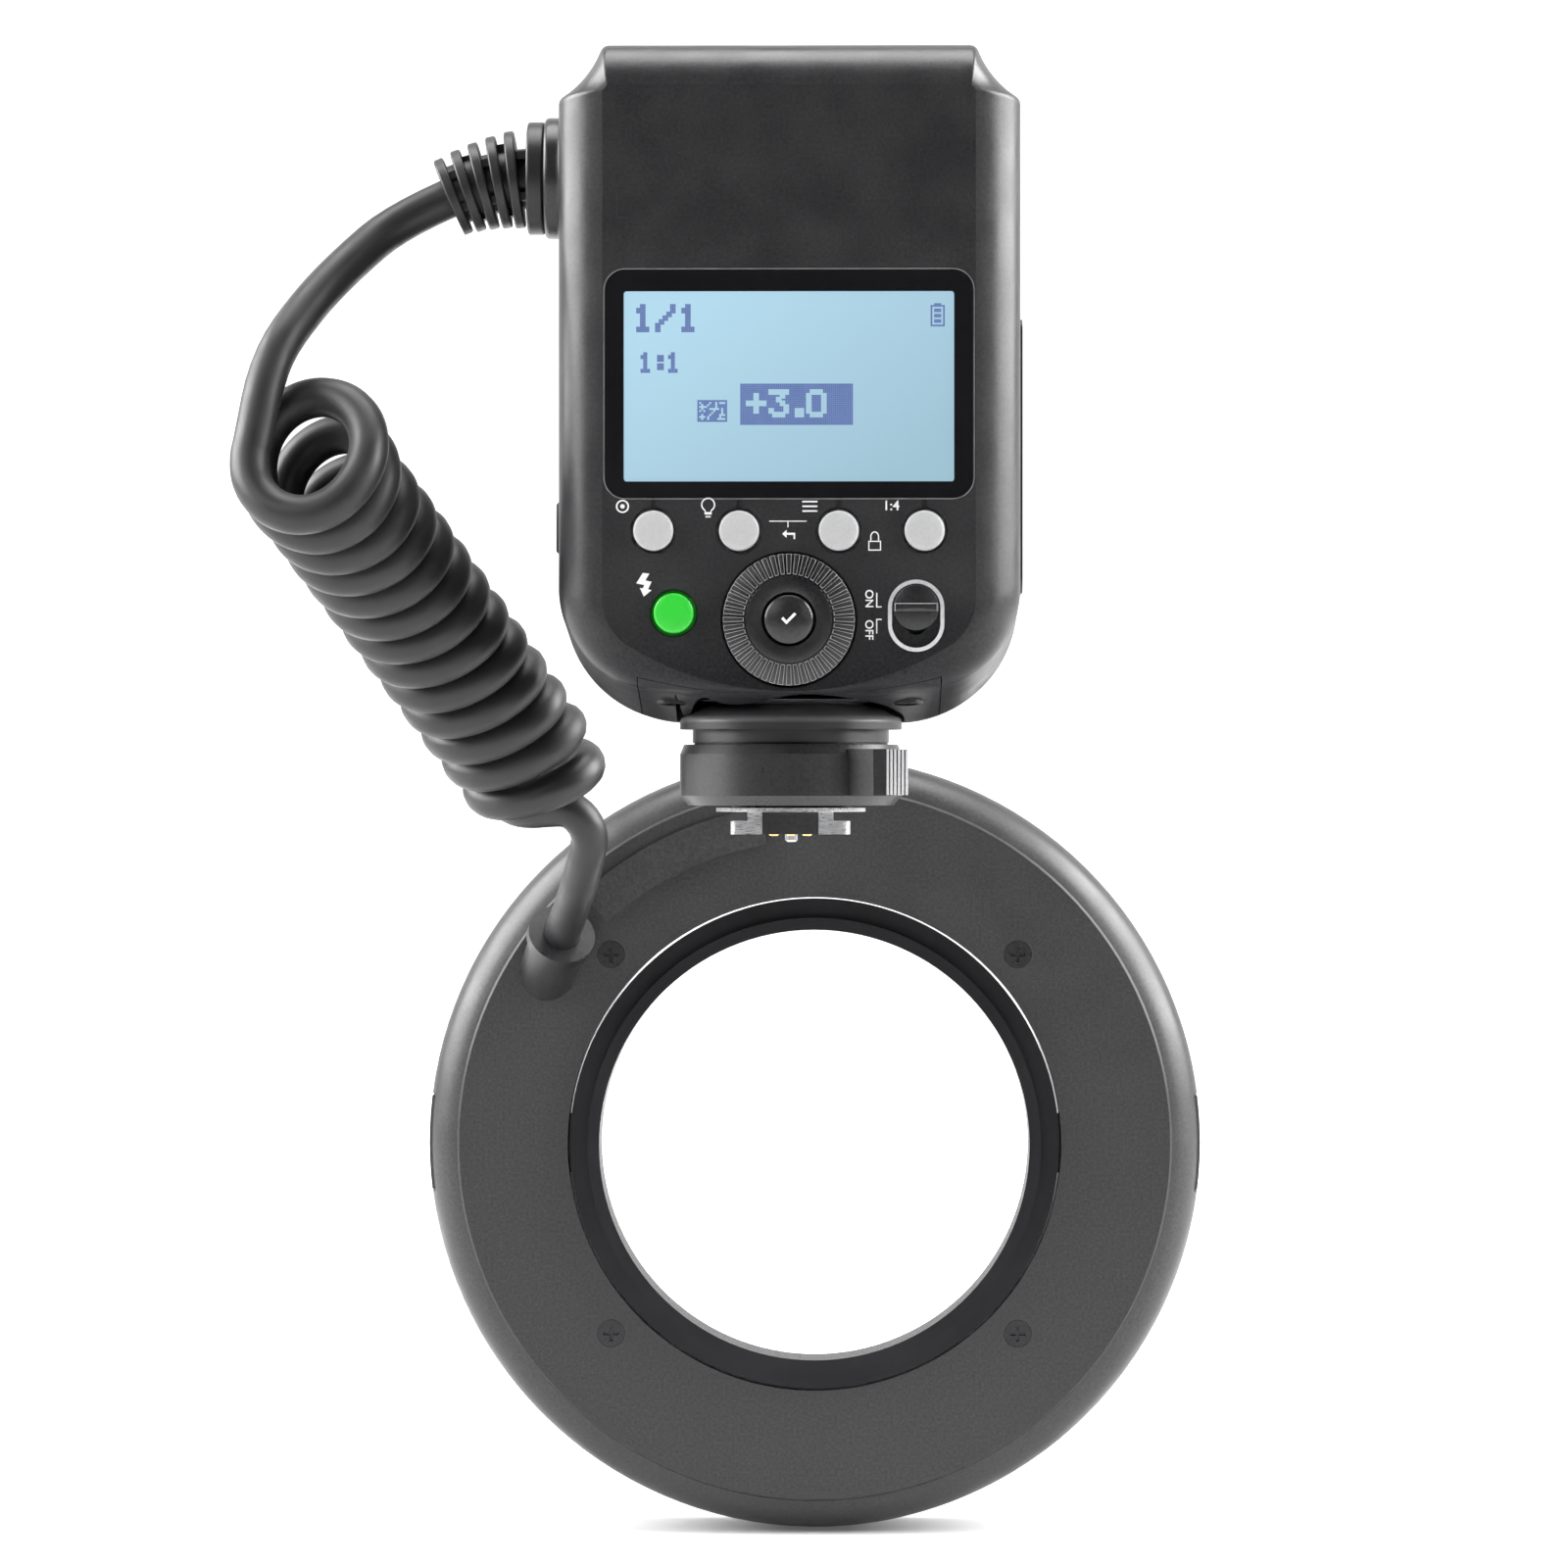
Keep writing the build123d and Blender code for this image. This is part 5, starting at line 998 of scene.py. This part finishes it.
class RINGFLASH_OT_power_knob(bpy.types.Operator):
    """Model the switch knob with a painted highlight on its ledge, a painted highlight along the
    display frame's seam, the lock's grip and the foot's washer
    """

    bl_idname = "ring_flash.power_knob"
    bl_label = "Switch knob"

    def execute(self, context):
        x, z = KNOB_PLACE
        low = spun("knob_low", KNOB_LOW_PROFILE, x, z, steps=72)
        high = spun("knob_high", KNOB_HIGH_PROFILE, x, z, steps=72)
        only(high)
        set_mode("EDIT")
        bpy.ops.mesh.select_all(action="SELECT")
        bpy.ops.mesh.bisect(
            plane_co=(0, 0, KNOB_CUT_Z * MM), plane_no=(0, 0, -1), use_fill=True, clear_outer=True
        )
        set_mode("OBJECT")
        knob = finished(joined([low, high], "switch_knob"), "dial_black")
        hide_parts("power_switch")
        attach(knob, "power_switch")
        # A thin pale bar along the knob's ledge, a painted highlight
        inner, outer = KNOB_EDGE_HALVES
        foot, under, top = KNOB_EDGE_Z
        half = [(outer, top), (outer, foot), (inner, foot), (inner, under)]
        outline = [(x + aside, z) for aside, z in half]
        outline += [(x - aside, z) for aside, z in reversed(half)]
        edge = flat_piece("knob_ledge_highlight", [outline], -29.10 * MM, 0.07 * MM)
        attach(finished(edge, "edge_highlight"), "power_switch")
        # A thin pale ring round the display frame, a painted highlight along its seam
        seam = flat_piece(
            "display_seam_highlight",
            [rounded_outline(0, FRAME_MIDDLE_Z, 56.60, 35.20, 3.3, 10),
             rounded_outline(0, FRAME_MIDDLE_Z, 56.42, 35.02, 3.2, 10)],
            -28.0 * MM,
            0.03 * MM,
        )
        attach(finished(seam, "edge_highlight"), "controller")
        base = bevelled_block("grip_base", GRIP_MIDDLE, GRIP_SIZE, 0.15)
        finished(base, "dark_plastic")
        ribs = []
        for index in range(GRIP_RIB_COUNT):
            place = (GRIP_RIB_FIRST[0] + GRIP_RIB_STEP * index, *GRIP_RIB_FIRST[1:])
            rib = bevelled_block(f"grip_rib_{index}", place, GRIP_RIB_SIZE, 0.09)
            ribs.append(finished(rib, "bright_metal"))
        grip = smoothed(joined([base] + ribs, "grip"), 40)
        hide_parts("lock_grip")
        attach(grip, "lock")
        washer = spun("foot_washer", WASHER_PROFILE, upright=True)
        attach(finished(washer, "gland_rubber"), "controller")
        return {"FINISHED"}


# ---- the display

DISPLAY_Y = -27.6 * MM
DOT = 0.293
DOT_PROUD = 0.012 * MM
# The gap round each dot, as a share of its pitch
DOT_GAP = 0.03


def dot_rows(text):
    """The dot rows of some figures beside each other."""
    return [".".join(rows) for rows in zip(*(FIGURES[figure] for figure in text))]


def doubled(rows):
    """Dot rows with every dot repeated to the side and below."""
    return ["".join(dot * 2 for dot in row) for row in rows for _ in range(2)]


def bolder(rows):
    """Dot rows whose strokes are one dot wider and one dot higher."""
    wide = [
        "".join("#" if "#" in pair else "." for pair in zip("." + row, row + "."))
        for row in rows
    ]
    blank = "." * len(wide[0])
    return [
        "".join("#" if "#" in pair else "." for pair in zip(upper, lower))
        for upper, lower in zip([blank] + wide, wide + [blank])
    ]


def large_figures(text):
    """The dot rows of large, bold figures."""
    return bolder(doubled(dot_rows(text)))


def inverted(rows, left, right, top, bottom):
    """Dot rows as a dark box with the figures left light."""
    width = len(rows[0]) + left + right
    full = ["#" * width] * top
    for row in rows:
        swapped = "".join("." if dot == "#" else "#" for dot in row)
        full.append("#" * left + swapped + "#" * right)
    return full + ["#" * width] * bottom


def dot_sign(name, rows, left, top, dot):
    """A field of display dots: a grid whose light dots are deleted, with a hair gap between."""
    columns = len(rows[0])
    clear_selection()
    bpy.ops.mesh.primitive_grid_add(
        x_subdivisions=columns, y_subdivisions=len(rows), size=2, location=(0, 0, 0)
    )
    piece = just_added(name)
    piece.scale = (columns * dot * MM / 2, len(rows) * dot * MM / 2, 1)
    piece.rotation_euler = (math.pi / 2, 0, 0)
    piece.location = (
        (left + columns * dot / 2) * MM,
        DISPLAY_Y - DOT_PROUD,
        (top - len(rows) * dot / 2) * MM,
    )
    settled(piece)

    def is_light(middle, normal):
        column = int((middle.x / MM - left) / dot)
        row = int((top - middle.z / MM) / dot)
        return rows[row][column] != "#"

    pick_faces(piece, is_light)
    bpy.ops.mesh.delete(type="FACE")
    bpy.ops.mesh.select_all(action="SELECT")
    bpy.ops.mesh.inset(thickness=dot * MM * DOT_GAP, use_individual=True)
    bpy.ops.mesh.select_all(action="INVERT")
    bpy.ops.mesh.delete(type="FACE")
    set_mode("OBJECT")
    return finished(piece, "display_dots")


BATTERY_DOTS = (
    "..####..",
    "########",
    "#......#",
    "#.####.#",
    "#.####.#",
    "#......#",
    "#.####.#",
    "#.####.#",
    "#......#",
    "#.####.#",
    "#.####.#",
    "#......#",
    "########",
)
FLASH_LEVEL_DOTS = (
    "###############",
    "#.####.##.#...#",
    "##.##.###.#####",
    "#....####.#####",
    "##.###.....#.##",
    "#.#.####.###.##",
    "#######.####.##",
    "##.###.####...#",
    "#...#.#####.###",
    "##.##.####....#",
    "###############",
)


class RINGFLASH_OT_display_signs(bpy.types.Operator):
    """Model the dot figures and signs that the display shows"""

    bl_idname = "ring_flash.display_signs"
    bl_label = "Display figures"

    def execute(self, context):
        display = settings().display
        pieces = [
            dot_sign("display_power", large_figures(display.power), -23.9, 81.1, DOT * 0.98),
            dot_sign("display_share", large_figures(display.share), -23.1, 73.75, DOT * 0.72),
            dot_sign("display_level_sign", FLASH_LEVEL_DOTS, -14.0, 66.45, DOT * 1.04),
            dot_sign(
                "display_value",
                inverted(large_figures(display.value), 3, 14, 3, 4),
                -7.45,
                68.95,
                DOT * 0.98,
            ),
            dot_sign("display_battery", BATTERY_DOTS, 21.6, 81.2, DOT * 0.93),
        ]
        for piece in pieces:
            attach(piece, "controller")
        return {"FINISHED"}


# ---- printed marks

REAR_Y = -28.0 * MM
# How much bolder the letters are than the font, and their turn to read from below
LETTER_BOLD = 0.02 * MM
UPWARD = math.pi / 2


def print_mark(name, outlines):
    """A printed mark on the controller's rear face."""
    proud = settings().body.print_thickness
    piece = flat_piece(name, outlines, REAR_Y, proud)
    finished(piece, "print")
    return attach(piece, "controller")


def print_word(name, text, x, z, size, turn=0.0):
    """Printed letters or figures on the controller's rear face."""
    clear_selection()
    bpy.ops.object.text_add(rotation=(math.pi / 2, turn, 0))
    piece = just_added(name)
    piece.data.body = text
    piece.data.size = size * MM
    piece.data.align_x = "CENTER"
    piece.data.align_y = "CENTER"
    half = settings().body.print_thickness / 2
    piece.data.offset = LETTER_BOLD
    piece.data.extrude = half
    piece.location = (x * MM, REAR_Y - half, z * MM)
    piece = as_mesh(piece)
    piece.name = name
    finished(piece, "print")
    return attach(piece, "controller")


class RINGFLASH_OT_printed_marks(bpy.types.Operator):
    """Model the printed marks beside the buttons and the switch"""

    bl_idname = "ring_flash.printed_marks"
    bl_label = "Printed marks"

    def execute(self, context):
        print_word("mark_on", "ON", 12.20, 36.1, 1.75, UPWARD)
        print_word("mark_off", "OFF", 12.20, 31.35, 1.75, UPWARD)
        print_mark(
            "mark_switch_places",
            [
                [(13.30, 37.0), (13.48, 37.0), (13.48, 34.95), (14.15, 34.95), (14.15, 34.77),
                 (13.30, 34.77)],
                [(13.30, 30.8), (13.48, 30.8), (13.48, 32.85), (14.15, 32.85), (14.15, 33.03),
                 (13.30, 33.03)],
            ],
        )
        # A lamp, a padlock and a flash arrow
        bulb = arc(-12.33, 50.45, 1.08, 1.08, 240, -60, 30) + [(-11.79, 48.95), (-12.87, 48.95)]
        hollow = arc(-12.33, 50.45, 0.88, 0.88, 242, -62, 30) + [(-11.98, 49.32), (-12.68, 49.32)]
        print_mark("mark_lamp", [bulb, hollow, bar_outline(-12.33, 48.62, 0.8, 0.2)])
        shackle = [(13.76, 44.98)] + arc(13.08, 45.55, 0.68, 0.82, 0, 180, 16)
        shackle += [(12.40, 44.98), (12.58, 44.98)]
        shackle += arc(13.08, 45.55, 0.50, 0.64, 180, 0, 16) + [(13.58, 44.98)]
        print_mark(
            "mark_lock",
            [shackle, bar_outline(13.08, 44.19, 1.95, 1.50),
             bar_outline(13.08, 44.19, 1.60, 1.15)],
        )
        print_mark(
            "mark_flash",
            [
                [(-22.3, 40.05), (-21.3, 39.95), (-21.9, 38.9), (-20.95, 38.7), (-21.5, 37.55),
                 (-20.95, 37.4), (-22.15, 36.45), (-22.75, 37.75), (-22.3, 37.7), (-22.05, 38.2),
                 (-23.3, 38.45)],
            ],
        )
        # Plain signs in the places of the words: a wheel, a list, two shares and a bracket
        print_mark(
            "mark_wheel",
            [ring_outline(-25.4, 50.2, 1.0), ring_outline(-25.4, 50.2, 0.78),
             ring_outline(-25.4, 50.2, 0.34, 20)],
        )
        print_mark(
            "mark_list",
            [bar_outline(3.2, 50.2 + step, 2.3, 0.24) for step in (-0.72, 0, 0.72)],
        )
        print_word("mark_shares", "1:4", 15.6, 50.25, 2.1)
        print_mark(
            "mark_both",
            [[(-3.0, 48.0), (2.7, 48.0), (2.7, 47.86), (-0.07, 47.86), (-0.07, 47.0),
              (-0.23, 47.0), (-0.23, 47.86), (-3.0, 47.86)]],
        )
        print_mark(
            "mark_return",
            [[(-1.05, 46.0), (-0.35, 46.6), (-0.35, 46.15), (0.95, 46.15), (0.95, 45.2),
              (0.7, 45.2), (0.7, 45.85), (-0.35, 45.85), (-0.35, 45.4)]],
        )
        return {"FINISHED"}


# ---- panel and registration

STEPS = (
    "camera",
    "finishes",
    "curly_cord",
    "key_caps",
    "control_wheel",
    "power_knob",
    "display_signs",
    "printed_marks",
    "stage",
)


class RINGFLASH_PT_panel(bpy.types.Panel):
    """The ring flash's sizes, colours and steps"""

    bl_label = "Ring flash"
    bl_idname = "RINGFLASH_PT_panel"
    bl_space_type = "VIEW_3D"
    bl_region_type = "UI"
    bl_category = "Ring flash"

    def draw(self, context):
        for part in ("cord", "body", "display", "stage"):
            group = getattr(context.scene.ring_flash, part)
            box = self.layout.box()
            box.label(text=part.title())
            for name in group.__annotations__:
                box.prop(group, name)
        for step in STEPS:
            self.layout.operator("ring_flash." + step)


CLASSES = (
    RingFlashCord,
    RingFlashBody,
    RingFlashDisplay,
    RingFlashStage,
    RingFlashSettings,
    RINGFLASH_OT_camera,
    RINGFLASH_OT_finishes,
    RINGFLASH_OT_curly_cord,
    RINGFLASH_OT_key_caps,
    RINGFLASH_OT_control_wheel,
    RINGFLASH_OT_power_knob,
    RINGFLASH_OT_display_signs,
    RINGFLASH_OT_printed_marks,
    RINGFLASH_OT_stage,
    RINGFLASH_PT_panel,
)


def register():
    """Registers the classes and the scene's settings."""
    for made in CLASSES:
        bpy.utils.register_class(made)
    bpy.types.Scene.ring_flash = bpy.props.PointerProperty(
        type=RingFlashSettings, name="Ring flash", description="Sizes and colours"
    )


def unregister():
    """Takes them away again."""
    del bpy.types.Scene.ring_flash
    for made in reversed(CLASSES):
        bpy.utils.unregister_class(made)


def main():
    """Runs every step in order."""
    register()
    for step in STEPS:
        getattr(bpy.ops.ring_flash, step)()
    clear_selection()


if __name__ == "__main__":
    main()
